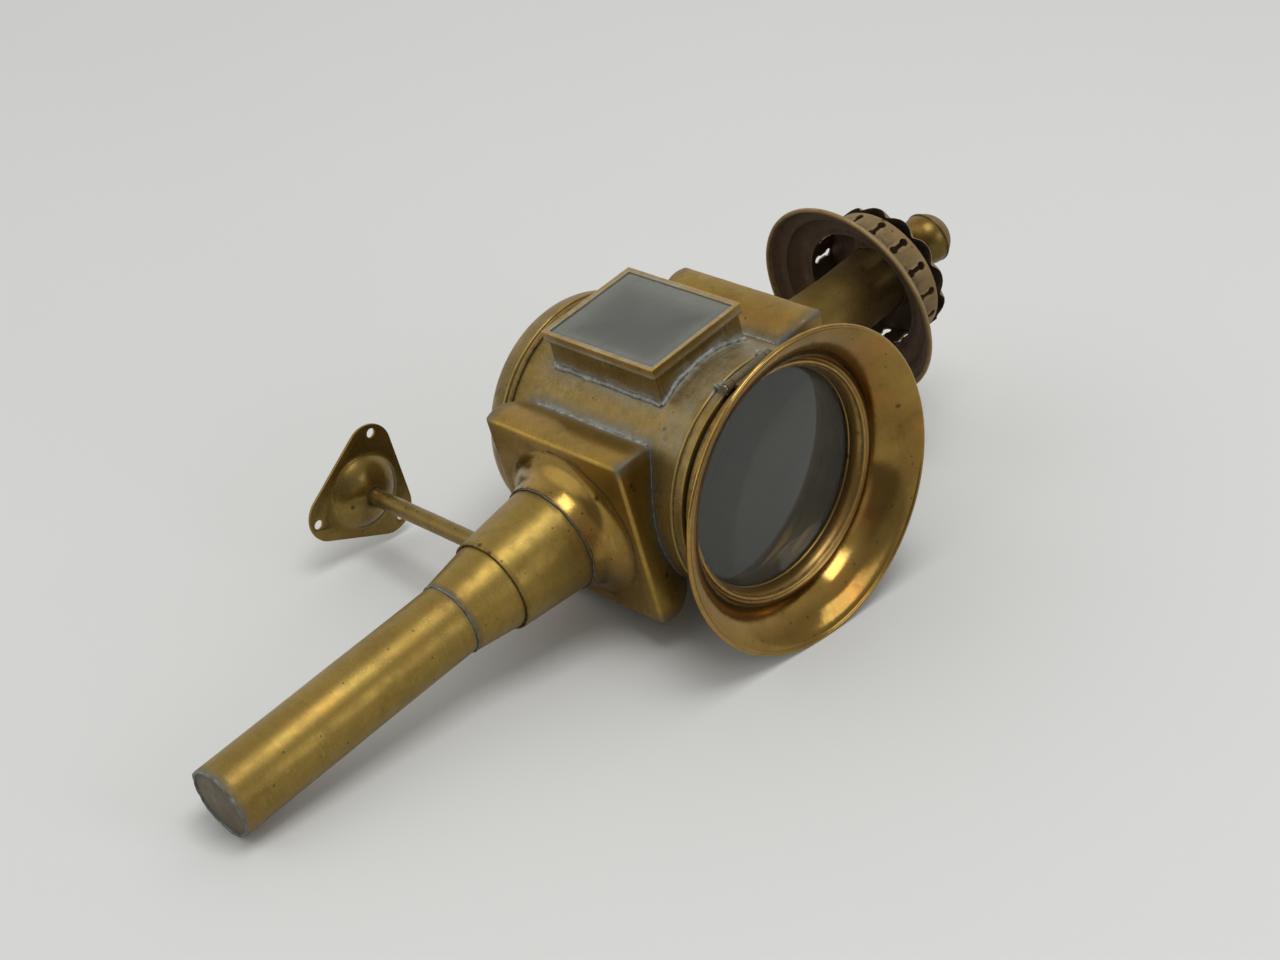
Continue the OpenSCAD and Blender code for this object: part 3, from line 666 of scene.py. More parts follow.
@dataclass(frozen=True)
class AgedBrass(Finish):
    """Sheet brass with tarnish, copper patches, stains, scratches, worn edges with a painted highlight, and what
    gathers in its seams with painted shade in grooves and gaps.
    """

    name: str
    clean: Colour = (0.30, 0.195, 0.046)
    tarnish: Colour = (0.135, 0.084, 0.023)
    blush: Colour = (0.33, 0.160, 0.040)
    cover: float = 0.75
    warmth: float = 0.55
    stained: float = 0.55
    mottled: float = 0.42
    scratched: float = 0.35
    metal: tuple[float, float] = (0.82, 0.60)
    gloss: float = 0.28
    matt: float = 0.44
    lines: Lines = Lines.CANDLE
    grooves: float = 0.25
    bloom: Colour = (0.30, 0.325, 0.30)
    lead: Colour = (0.125, 0.128, 0.120)
    # Colour of the dark cover: dirt in joints and painted shade
    dirt_and_shade: Colour = (0.030, 0.024, 0.016)
    speck: Colour = (0.045, 0.026, 0.012)
    soot: Colour = (0.060, 0.042, 0.022)
    scorch: tuple[float, float] | None = None

    def times(self, share: float) -> Colour:
        """Clean colour made darker or brighter."""
        return tuple(c * share for c in self.clean)

    def soil(self, w: Wiring, name: str, place: NodeSocket) -> NodeSocket:
        """Mask of what gathers along the seams.

        Args:
            w: Wiring of the material.
            name: Attribute that holds its cover.
            place: Object coordinates.

        Returns:
            The mask.
        """
        cover = w.out("Attribute", attribute_name=name, key="Fac")
        return w.out("Group", {"Vector": place, "Cover": cover}, node_tree=Groups.broken_edge(), key="Mask")

    def shader(self, w: Wiring) -> NodeSocket:
        """Wire brass whose colour, gloss and metal follow its patina and seams."""
        place = w.out("TexCoord", key="Object")
        age = w.node("Group", {"Vector": place}, node_tree=Groups.patina()).outputs
        axis = w.out(
            "Mapping", {"Vector": place, "Location": LAMP, "Rotation": self.lines.value}, vector_type="TEXTURE"
        )
        lines = w.out("Group", {"Vector": axis}, node_tree=Groups.lathe_lines(), key="Lines")
        dull = w.math("MULTIPLY", age["Blotch"], self.cover)
        stain = w.math("MULTIPLY", age["Stain"], self.stained)
        tone = w.mix(dull, rgba(self.clean), rgba(self.tarnish))
        tone = w.over(tone, age["Copper"], self.warmth, self.blush)
        tone = w.mix(stain, tone, rgba(tuple(c * 0.42 for c in self.tarnish)))
        for mask, share, colour in (
            (age["Mottle"], self.mottled, self.times(0.48)),
            (age["Grain"], 0.6 * self.mottled, self.times(1.30)),
            (w.band(lines, 0.45, 0.68), 0.8 * self.mottled, self.times(0.6)),
            (age["Specks"], 0.85, self.speck),
            (age["Scratch"], self.scratched, tuple(c + 0.14 for c in self.clean)),
        ):
            tone = w.over(tone, mask, share, colour)
        if self.scorch:
            heat = w.band(w.out("SeparateXYZ", {0: place}, key=2), *self.scorch)
            heat = w.math("MULTIPLY", heat, w.band(age["Blotch"], 0.0, 1.0, 0.55, 0.92))
            tone = w.mix(heat, tone, rgba(self.soot))
            dull = w.math("ADD", dull, heat)
        # The dark cover is dirt in joints and painted shade in grooves, gaps and under overhangs; the worn cover is
        # wear brightened past the clean colour into a painted highlight.
        wear_and_sheen, dirt_and_shade, lead, crust = (
            self.soil(w, kind.value, place) for kind in (Soil.WORN_AND_SHEEN, Soil.DARK, Soil.LEAD, Soil.PALE)
        )
        for mask, share, colour in (
            (wear_and_sheen, 0.75, self.times(1.55)), (dirt_and_shade, 0.9, self.dirt_and_shade),
            (lead, 0.85, self.lead), (crust, 0.78, self.bloom),
        ):
            tone = w.over(tone, mask, share, colour)
        rough = w.band(dull, 0.0, 1.0, self.gloss, self.matt)
        for more in (
            w.band(age["Mottle"], 0.0, 1.0, 0.0, 0.2 * self.mottled),
            w.math("MULTIPLY", stain, 0.12),
            w.math("MULTIPLY", w.math("ADD", crust, w.math("ADD", dirt_and_shade, lead)), 0.30),
        ):
            rough = w.math("ADD", rough, more)
        loss = w.math("ADD", w.math("MULTIPLY", dirt_and_shade, 0.5), w.math("MULTIPLY", lead, 0.45))
        loss = w.math("ADD", w.math("MULTIPLY", crust, 0.8), loss)
        metal = w.math("SUBTRACT", w.band(dull, 0.0, 1.0, *self.metal), loss)
        height = w.math("MULTIPLY", lines, self.grooves)
        for mask, share in ((age["Mottle"], 0.5), (age["Rub"], 0.35), (crust, 0.9)):
            height = w.plain("MULTIPLY_ADD", mask, share, height)
        bump = w.out("Bump", {"Height": height, "Strength": 0.22, "Distance": 0.00022})
        return w.out("BsdfPrincipled", {
            "Base Color": tone, "Metallic": metal, "Roughness": rough, "Specular IOR Level": 0.12,
            "Normal": bump,
        })


@dataclass(frozen=True)
class Solder(Finish):
    """Old lead solder, dull grey with pale oxide."""

    name: str
    metal: Colour = (0.105, 0.108, 0.105)
    oxide: Colour = (0.33, 0.36, 0.35)
    oxidised: float = 0.5
    stain: Colour = (0.10, 0.078, 0.035)

    def shader(self, w: Wiring) -> NodeSocket:
        """Wire lead whose oxide lies in patches."""
        place = w.out("TexCoord", key="Object")
        age = w.node("Group", {"Vector": place}, node_tree=Groups.patina()).outputs
        patch = w.math("MULTIPLY", w.band(w.noise(place, 260.0, 5.0, 0.7), 0.42, 0.66), self.oxidised)
        tone = w.mix(patch, rgba(self.metal), rgba(self.oxide))
        tone = w.over(tone, age["Mottle"], 0.45, self.stain)
        height = w.noise(place, 700.0, 4.0, 0.7)
        bump = w.out("Bump", {"Height": height, "Strength": 0.5, "Distance": 0.0004})
        return w.out("BsdfPrincipled", {
            "Base Color": tone, "Metallic": w.band(patch, 0.0, 1.0, 0.65, 0.05),
            "Roughness": w.band(patch, 0.0, 1.0, 0.42, 0.75), "Normal": bump,
        })


@dataclass(frozen=True)
class OldGlass(Finish):
    """Pane of old glass with a film of dust."""

    name: str
    tint: Colour = (0.40, 0.42, 0.41)
    film: Colour = (0.34, 0.36, 0.35)
    bloom: Colour = (0.62, 0.66, 0.60)
    clear: float = 0.02
    hazy: float = 0.10
    through: float = 0.96

    def shader(self, w: Wiring) -> NodeSocket:
        """Wire glass whose film and polish vary."""
        place = w.out("TexCoord", key="Object")
        smear = w.band(w.noise(place, 34.0, 5.0, 0.62), 0.30, 0.74)
        dust = w.band(w.noise(place, 85.0, 3.0), 0.45, 0.80)
        cover = w.out("Attribute", attribute_name=Soil.PALE.value, key="Fac")
        edge = w.math("MULTIPLY", cover, w.band(w.noise(place, 48.0, 3.0), 0.3, 0.7, 0.45, 1.0))
        film = w.math("ADD", w.math("MULTIPLY", smear, 0.75), w.math("MULTIPLY", dust, 0.25))
        tone = w.mix(film, rgba(self.tint), rgba(self.film))
        return w.out("BsdfPrincipled", {
            "Base Color": w.over(tone, edge, 0.8, self.bloom),
            "Roughness": w.band(w.math("ADD", film, edge), 0.0, 1.0, self.clear, self.hazy),
            "Transmission Weight": self.through, "IOR": 1.5, "Metallic": 0.0,
        })


@dataclass(frozen=True)
class PlainMetal(Finish):
    """Worn metal of one colour with a soft mottle, for the inner works."""

    name: str
    colour: Colour = (0.5, 0.5, 0.48)
    worn: Colour = (0.28, 0.27, 0.25)
    gloss: float = 0.22
    matt: float = 0.45

    def shader(self, w: Wiring) -> NodeSocket:
        """Wire metal that is duller in its blotches."""
        place = w.out("TexCoord", key="Object")
        age = w.node("Group", {"Vector": place}, node_tree=Groups.patina()).outputs
        tone = w.mix(age["Blotch"], rgba(self.colour), rgba(self.worn))
        bump = w.out("Bump", {"Height": age["Mottle"], "Strength": 0.08, "Distance": 0.0002})
        return w.out("BsdfPrincipled", {
            "Base Color": tone, "Metallic": 1.0, "Normal": bump,
            "Roughness": w.band(age["Mottle"], 0.0, 1.0, self.gloss, self.matt),
        })


@dataclass(frozen=True)
class TableTop(Finish):
    """Matt pale table that can be seen through from below."""

    name: str
    colour: Colour = (0.635, 0.64, 0.626)

    def shader(self, w: Wiring) -> NodeSocket:
        """Wire matt paint over nothing at its back."""
        place = w.out("TexCoord", key="Object")
        cloud = w.band(w.noise(place, 3.0, 3.0), 0.3, 0.7, 0.0, 1.0)
        tone = w.mix(cloud, rgba(self.colour), rgba(tuple(c * 0.985 for c in self.colour)))
        paint = w.out(
            "BsdfPrincipled", {"Base Color": tone, "Roughness": 0.9, "Specular IOR Level": 0.1}
        )
        behind = w.out("NewGeometry", key="Backfacing")
        return w.out("MixShader", {0: behind, 1: paint, 2: w.out("BsdfTransparent")})


BODY_BRASS = AgedBrass(
    "brass_body", clean=(0.268, 0.182, 0.052), tarnish=(0.108, 0.073, 0.023), blush=(0.28, 0.140, 0.038),
    cover=0.88, stained=0.68, mottled=0.52, scratched=0.55, lines=Lines.DRUM,
)
SPUN_BRASS = AgedBrass(
    "brass_hood", metal=(1.0, 0.92), clean=(0.315, 0.194, 0.049), tarnish=(0.150, 0.089, 0.024),
    blush=(0.36, 0.165, 0.041), cover=0.78, warmth=0.65, stained=0.28, mottled=0.18, scratched=0.15, gloss=0.11,
    matt=0.21, lines=Lines.DRUM, grooves=0.3,
)
BEZEL_BRASS = AgedBrass(
    "brass_bezel", metal=(0.90, 0.75), clean=(0.31, 0.195, 0.060), tarnish=(0.180, 0.110, 0.034),
    blush=(0.30, 0.150, 0.045), cover=0.6, stained=0.25, mottled=0.22, gloss=0.28, matt=0.42, lines=Lines.DRUM,
)
TUBE_BRASS = AgedBrass(
    "brass_tube", metal=(0.80, 0.60), clean=(0.285, 0.192, 0.045), tarnish=(0.165, 0.102, 0.026),
    blush=(0.30, 0.155, 0.040), cover=0.6, warmth=0.45, stained=0.35, mottled=0.34, gloss=0.33, matt=0.45,
)
SOCKET_BRASS = replace(TUBE_BRASS, name="brass_socket", gloss=0.34, matt=0.46)
PAN_BRASS = AgedBrass(
    "brass_pan", metal=(0.88, 0.66), clean=(0.32, 0.200, 0.040), tarnish=(0.145, 0.085, 0.021), cover=0.7,
    warmth=0.6, stained=0.45, gloss=0.24, matt=0.40,
)
COLLAR_BRASS = AgedBrass(
    "brass_collar", metal=(0.96, 0.86), clean=(0.36, 0.228, 0.056), tarnish=(0.185, 0.110, 0.028), cover=0.5,
    stained=0.3, mottled=0.2, gloss=0.16, matt=0.28,
)
PLATE_BRASS = AgedBrass(
    "brass_plate", metal=(0.88, 0.66), clean=(0.25, 0.168, 0.047), tarnish=(0.130, 0.084, 0.025),
    blush=(0.25, 0.130, 0.038), gloss=0.18, matt=0.34,
)
HINGE_BRASS = AgedBrass(
    "brass_hinge", metal=(0.30, 0.15), clean=(0.125, 0.092, 0.038), tarnish=(0.060, 0.044, 0.020),
    blush=(0.12, 0.072, 0.030), stained=0.7, gloss=0.52, matt=0.66,
)
FLUE_BRASS = AgedBrass("brass_flue", clean=(0.32, 0.212, 0.058), gloss=0.30, matt=0.48, scorch=(0.195, 0.245))
KNOB_BRASS = AgedBrass(
    "brass_knob", metal=(0.90, 0.76), clean=(0.155, 0.106, 0.024), tarnish=(0.088, 0.056, 0.015), cover=0.5,
    stained=0.25, mottled=0.2, gloss=0.30, matt=0.46,
)
KNOB_TOP_BRASS = AgedBrass(
    "brass_knob_top", metal=(0.66, 0.46), clean=(0.22, 0.145, 0.056), tarnish=(0.120, 0.075, 0.030),
    blush=(0.20, 0.110, 0.045), cover=0.8, gloss=0.34, matt=0.48,
)
CAP_BRASS = AgedBrass(
    "brass_cap", metal=(0.50, 0.32), clean=(0.26, 0.180, 0.080), tarnish=(0.135, 0.088, 0.038),
    blush=(0.23, 0.138, 0.058), cover=0.7, stained=0.5, gloss=0.42, matt=0.56,
)
SOOTED_BRASS = AgedBrass(
    "brass_sooted", metal=(0.36, 0.20), clean=(0.118, 0.076, 0.046), tarnish=(0.068, 0.045, 0.030),
    blush=(0.115, 0.066, 0.038), cover=0.8, stained=0.4, gloss=0.46, matt=0.60,
)
END_BRASS = AgedBrass(
    "brass_end", metal=(0.50, 0.32), clean=(0.17, 0.135, 0.085), tarnish=(0.10, 0.080, 0.060),
    blush=(0.15, 0.115, 0.07), cover=0.8, gloss=0.40, matt=0.58,
)
FRAME_BRASS = AgedBrass(
    "brass_frame", clean=(0.36, 0.225, 0.054), tarnish=(0.160, 0.098, 0.026), cover=0.7, warmth=0.65,
    stained=0.6, mottled=0.46, scratched=0.6, gloss=0.26, matt=0.42, lines=Lines.DRUM,
)
GREY_SOLDER = Solder("solder_grey", oxidised=0.6)
PALE_SOLDER = Solder("solder_pale", metal=(0.20, 0.205, 0.195), oxidised=0.95, oxide=(0.46, 0.49, 0.46))
FRONT_PANE = OldGlass(
    "glass_front", tint=(0.30, 0.305, 0.270), film=(0.36, 0.365, 0.320), clear=0.01, hazy=0.05, through=0.90,
)
SIDE_PANE = OldGlass(
    "glass_side", tint=(0.094, 0.098, 0.078), film=(0.074, 0.078, 0.061), bloom=(0.42, 0.43, 0.35), clear=0.05,
    hazy=0.16, through=0.45,
)
SILVERED = PlainMetal("silver_worn", colour=(0.42, 0.41, 0.38), worn=(0.20, 0.18, 0.14))
STEEL = PlainMetal("steel_dull", colour=(0.30, 0.29, 0.28), worn=(0.16, 0.13, 0.10), gloss=0.3, matt=0.55)


# Dirt and bloom along the seams, and painted shade and highlights along some edges

# Share of pale bloom that lies in a wide halo, and how much wider the halo is, squared
HALO = 0.36
HALO_SPREAD = 9


def ring_line(radius: float, along: float, way: Way, steps: int = 90) -> list[Vector]:
    """Closed ring about an axis.

    Args:
        radius: Its radius in millimetres.
        along: Its place along the axis in millimetres.
        way: The axis.
        steps: Number of points.

    Returns:
        The points in metres, the first repeated at the end.
    """
    tilt, start = way.value
    matrix = Matrix.Translation(start) @ Matrix.Rotation(tilt, 4, "X")
    angles = [2 * math.pi * i / steps for i in range(steps + 1)]
    return [matrix @ (Vector((radius * math.cos(a), radius * math.sin(a), along)) / MM) for a in angles]


class SeamMap:
    """Lines along which bloom or dirt gathers or shade or a highlight is painted, and how far each reaches."""

    def __init__(self) -> None:
        """Start with no lines."""
        self.spots: dict[Soil, list[tuple[Vector, float, float]]] = {soil: [] for soil in Soil}

    def add(self, soil: Soil, points: Sequence[Vector], reach: float, strength: float = 1.0) -> None:
        """Add a line.

        Args:
            soil: What gathers or is painted there.
            points: The line, in metres.
            reach: How far it spreads, in millimetres.
            strength: Its cover on the line, from 0 to 1.
        """
        for start, end in zip(points, points[1:]):
            steps = max(1, math.ceil((end - start).length * MM))
            self.spots[soil] += [(start.lerp(end, k / steps), reach / MM, strength) for k in range(steps + 1)]

    def rings(self, way: Way, *rows: tuple[Soil, float, float, float, float]) -> None:
        """Add rings about an axis.

        Args:
            way: The axis.
            *rows: Soil, radius, place along the axis, reach and strength of each ring.
        """
        for soil, radius, along, reach, strength in rows:
            self.add(soil, ring_line(radius, along, way), reach, strength)

    def mark(self, obj: Piece) -> None:
        """Write the cover of each kind of soil on a piece's vertices."""
        for soil, spots in self.spots.items():
            if not spots:
                continue
            tree = kdtree.KDTree(len(spots))
            for index, (place, _, _) in enumerate(spots):
                tree.insert(place, index)
            tree.balance()
            cover = []
            for vertex in obj.data.vertices:
                _, index, distance = tree.find(vertex.co)
                _, reach, strength = spots[index]
                share = (distance / reach) ** 2
                halo = HALO if soil is Soil.PALE else 0.0
                cover.append(strength * ((1 - halo) * math.exp(-share) + halo * math.exp(-share / HALO_SPREAD)))
            layer = obj.data.attributes.new(soil.value, "FLOAT", "POINT")
            layer.data.foreach_set("value", cover)


SEAMS = SeamMap()


# Sub-assemblies


@dataclass
class SubAssembly:
    """Pieces that are built and dressed together."""

    body: str = "lamp_body"
    parts: dict[str, Piece] = field(default_factory=dict)

    def build(self) -> None:
        """Model the pieces."""
        raise NotImplementedError

    def dress(self) -> None:
        """Finish the pieces."""
        raise NotImplementedError

    def keep(self, obj: Piece) -> Piece:
        """Note a modelled piece by its name."""
        self.parts[obj.name] = obj
        return obj

    def fit(
        self, name: str, finish: Finish, node: str | None = None, slot: str = "brass_aged", soiled: bool = True
    ) -> None:
        """Finish one piece and hang it on its body.

        Args:
            name: The piece.
            finish: Its surface.
            node: Solid of the frame that it stands for.
            slot: The record's material slot; not used.
            soiled: Whether seams mark it.
        """
        obj = self.parts[name]
        if soiled:
            SEAMS.mark(obj)
        obj.data.materials.clear()
        obj.data.materials.append(finish.material())
        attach(obj, self.body)
        if node:
            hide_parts(node)
        log.info("%s rides on %s", name, self.body)

    def line(self, name: str, finish: Finish, within: float) -> None:
        """Give the faces that look down or towards the candle's axis their own surface.

        Args:
            name: The piece, already finished.
            finish: Surface of its inside.
            within: Radius in millimetres inside which faces count.
        """
        mesh = self.parts[name].data
        mesh.materials.append(finish.material())
        for face in mesh.polygons:
            spoke = (face.center - Vector(LAMP)) * MM
            spoke.z = 0
            inward = face.normal.dot(spoke.normalized())
            if spoke.length < within and (inward < INWARD or face.normal.z < DOWNWARD):
                face.material_index = 1

    def dress_solder(self, finish: Finish, side: Finish | None = None) -> None:
        """Finish the beads of solder.

        Args:
            finish: Their surface.
            side: Surface of those along a side, if it is another.
        """
        for name in self.parts:
            if name.startswith("solder"):
                self.fit(name, side if side and "side" in name else finish, soiled=False)

    def dress_node(self, node: str, finish: Finish) -> None:
        """Give a solid of the frame a better surface."""
        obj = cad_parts[node]
        obj.data.materials.clear()
        obj.data.materials.append(finish.material())
        log.info("%s keeps its solid", node)


@dataclass
class Drum(SubAssembly):
    """Drum, front ring, domed back and reflector."""

    front: float = 62.5
    back: float = 57.0
    ring_w: float = 7.0
    ring_front: float = 62.7
    bead_r: float = 1.1
    dome_depth: float = 27.0
    shoulder: float = 18.0
    lap: float = 5.0
    window: Point = (33.3, 26.0)
    window_in: float = 30.0
    cut_from: float = 20.0
    cut_to: float = 80.0
    bloom_at: Point = (44.0, 50.0)
    bloom_side: float = 0.7

    def build(self) -> None:
        """Model the drum with its ways, the ring and the back."""
        self.keep(self.drum())
        self.keep(self.ring())
        self.keep(self.dome())
        rear = self.ring_front - self.ring_w
        SEAMS.rings(
            Way.DRUM,
            (Soil.DARK, RING_OUT + 0.4, rear - 0.2, 1.0, 0.85),
            (Soil.DARK, RING_OUT, -self.back + self.lap + 0.2, 1.0, 0.85),
            (Soil.DARK, RING_OUT + 0.3, rear + 2.4, 0.6, 0.7),
            (Soil.DARK, RING_OUT + 0.5, -self.back - 0.3, 0.8, 0.7),
            # Painted highlight with wear: the bead tops brightened past the clean colour
            (Soil.WORN_AND_SHEEN, RING_OUT + self.bead_r, rear + self.bead_r, 0.8, 0.75),
            (Soil.WORN_AND_SHEEN, RING_OUT + self.bead_r, -self.back + self.bead_r, 0.8, 0.75),
        )
        for along in self.bloom_at:
            side = [spot for spot in ring_line(DRUM_R, along, Way.DRUM) if spot.x < -self.bloom_side * DRUM_R / MM]
            SEAMS.add(Soil.PALE, side, 3.4, 0.38)

    def drum(self) -> Piece:
        """Roll the drum and cut its window, flue and candle ways."""
        outline = rounded([
            (DRUM_R - SHEET, -self.back, HEM), (DRUM_R, -self.back, HEM),
            (DRUM_R, self.front, HEM), (DRUM_R - SHEET, self.front, HEM),
        ], steps=2)
        obj = Bench.spun("drum_shell", stretched(outline, 2.4), Way.DRUM, steps=160)
        half_y, half_z = self.window
        inner, window_in, outer = self.cut_from, self.window_in, self.cut_to
        Bench.cut(obj, Bench.block(lamp_point(-outer, -half_y, -half_z), lamp_point(-window_in, half_y, half_z)))
        Bench.drill(obj, FLUE_WAY, lamp_point(0, 0, inner), lamp_point(0, 0, outer))
        Bench.drill(obj, CANDLE_WAY, lamp_point(0, 0, -outer), lamp_point(0, 0, -inner))
        return Bench.finished(obj, sharp=38, waves=(0.10, 45))

    def ring(self) -> Piece:
        """Spin the front ring with its wired bead."""
        rear = self.ring_front - self.ring_w
        bead = turn((RING_OUT, rear + self.bead_r), self.bead_r, -80, 84, 12)
        lip = turn((RING_OUT - HEM, self.ring_front - HEM), HEM, 0, 90, 3)
        outline = [
            (DRUM_R + CLEAR, rear), *bead, (RING_OUT, rear + 2 * self.bead_r + 0.4), *lip,
            (DRUM_R + CLEAR, self.ring_front),
        ]
        return Bench.spun("front_band", stretched(outline, 1.6), Way.DRUM, steps=160, sharp=50, waves=(0.10, 40))

    def dome(self) -> Piece:
        """Spin the back: a lap, a bead, a shoulder and a shallow crown."""
        a, s, b = RING_OUT, self.shoulder, self.dome_depth
        crown_r = ((a - s) ** 2 + b**2 - s**2) / (2 * (b - s))
        crown = (0.0, self.back + b - crown_r)
        seat = (a - s, self.back)
        tip = math.degrees(math.atan2(seat[1] - crown[1], seat[0]))
        outside = turn(seat, s, 6, tip, 16) + turn(crown, crown_r, tip, 90, 26)[1:]
        inside = turn(crown, crown_r - SHEET, 90, tip, 26) + turn(seat, s - SHEET, tip, 6, 16)[1:]
        bead = turn((a, self.back - self.bead_r), self.bead_r, -84, 70, 12)
        start = self.back - self.lap
        outline = [
            (DRUM_R + CLEAR, start), (a - 0.2, start), (a, start + 0.3), (a, self.back - 2 * self.bead_r - 0.2),
            *bead, *outside, *inside, (DRUM_R + CLEAR, self.back),
        ]
        return Bench.spun("back_bowl", [(r, -f) for r, f in outline], Way.DRUM, steps=160, sharp=50, waves=(0.2, 55))

    def dress(self) -> None:
        """Brass outside, worn silver on the reflector."""
        self.fit("drum_shell", BODY_BRASS, "drum")
        self.fit("front_band", BODY_BRASS, "front_ring")
        self.fit("back_bowl", BODY_BRASS, "back_dome")
        self.dress_node("reflector", SILVERED)


@dataclass
class Pans(SubAssembly):
    """Square mitred pans above and below the drum, with their solder."""

    face_w: float = 86.6
    root: Point = (37.0, 42.04)
    swell: float = 3.5
    edge: float = 1.6
    tuck: Point = (1.5, 4.0)
    solder_out: float = 0.35
    solder_half: int = 36
    worn: float = 0.4

    def side(self) -> list[Point]:
        """Half width and height of the rounded side, from the face to the drum."""
        return bow((self.face_w / 2, PAN_FACE), self.root, self.swell, steps=16)

    def half_at(self, height: float) -> float:
        """Half width of the pan at a height."""
        points = self.side()
        for (w0, h0), (w1, h1) in zip(points, points[1:]):
            if h1 <= height <= h0:
                return w0 + (w1 - w0) * (height - h0) / (h1 - h0)
        return points[-1][0]

    def build(self) -> None:
        """Model both pans and run the solder along their seams."""
        self.keep(self.pan("upper_pan", FLUE_WAY, 0.0))
        self.keep(self.pan("lower_pan", CANDLE_WAY, math.pi))
        for label, up in (("upper", 1.0), ("lower", -1.0)):
            self.seams(label, up)

    def pan(self, name: str, way: float, flip: float) -> Piece:
        """Raise a pan from its square face.

        Args:
            name: Name of the piece.
            way: Radius of the way through its face.
            flip: Turn about X that puts it above or below the drum.

        Returns:
            The pan.
        """
        points = [*self.side(), (self.root[0] - self.tuck[0], self.root[1] - self.tuck[1])]
        obj = Bench.plane(name, self.face_w / MM)
        Bench.settle(obj, Matrix.Translation((0, 0, PAN_FACE / MM)))
        with Bench.editing(obj):
            bpy.ops.mesh.subdivide(number_cuts=11)
            bpy.ops.mesh.select_mode(type="EDGE")
            bpy.ops.mesh.region_to_loop()
            for (w0, h0), (w1, h1) in zip(points, points[1:]):
                bpy.ops.mesh.extrude_edges_move(TRANSFORM_OT_translate={"value": (0, 0, (h1 - h0) / MM)})
                bpy.ops.transform.resize(value=(w1 / w0, w1 / w0, 1), center_override=(0, 0, h1 / MM))
            Bench.outward()
        Bench.bevelled(obj, self.edge, segments=5, angle=30)
        Bench.modified(obj, "SOLIDIFY", thickness=SHEET / MM, offset=-1.0)
        through = Vector((0, 0.12, 0))
        Bench.drill(obj, DRUM_R + 0.05, -through, through, sides=192)
        Bench.drill(obj, way, Vector((0, 0, 0)), Vector((0, 0, 0.1)))
        Bench.settle(obj, Matrix.Translation(LAMP) @ Matrix.Rotation(flip, 4, "X"))
        return Bench.finished(obj, sharp=40, waves=(0.22, 40))

    def seams(self, label: str, up: float) -> None:
        """Run solder and soil along one pan's seams.

        Args:
            label: Which pan.
            up: 1 for the upper pan, -1 for the lower.
        """
        reach, height = self.root
        for side, x_side in (("near", -1), ("far", 1)):
            x = x_side * (reach + self.solder_out)
            ys = range(-self.solder_half, self.solder_half + 1, 3)
            long_side = [lamp_point(x, y, up * height) for y in ys]
            self.keep(Bench.bead(f"solder_{label}_side_{side}", long_side, radius=0.8, lumps=0.4))
            SEAMS.add(Soil.PALE, long_side, 2.0, 0.9)
            SEAMS.add(Soil.LEAD, [p - Vector((0, 0, up * 1.5 / MM)) for p in long_side], 3.2, 0.7)
        for side, y_side in (("front", -1), ("back", 1)):
            xs = [reach * (k / 14) for k in range(-14, 15)]
            saddle = [(x, math.sqrt(DRUM_R**2 - x**2)) for x in xs]
            end = [lamp_point(x, y_side * (self.half_at(h) + 0.15), up * (h + 0.1)) for x, h in saddle]
            self.keep(Bench.bead(f"solder_{label}_end_{side}", end, radius=0.38, lumps=0.25))
            SEAMS.add(Soil.LEAD, end, 1.8, 0.8)
            SEAMS.add(Soil.DARK, end, 4.5, 0.75)
        # Painted highlight with wear: the face's edge brightened past the clean colour
        worn = self.face_w / 2 - self.worn
        square = [lamp_point(x * worn, y * worn, up * (PAN_FACE - self.worn)) for x, y in CORNERS]
        SEAMS.add(Soil.WORN_AND_SHEEN, square, 1.2, 0.8)
        for x, y in CORNERS[:4]:
            mitre = [lamp_point(x * w, y * w, up * h) for w, h in self.side()]
            SEAMS.add(Soil.LEAD, mitre, 2.4, 0.95)
            SEAMS.add(Soil.DARK, mitre, 3.2, 0.45)

    def dress(self) -> None:
        """Brass pans, with pale solder along the sides and grey at the ends."""
        self.fit("upper_pan", PAN_BRASS, "top_pan")
        self.fit("lower_pan", PAN_BRASS, "bottom_pan")
        self.dress_solder(GREY_SOLDER, side=PALE_SOLDER)


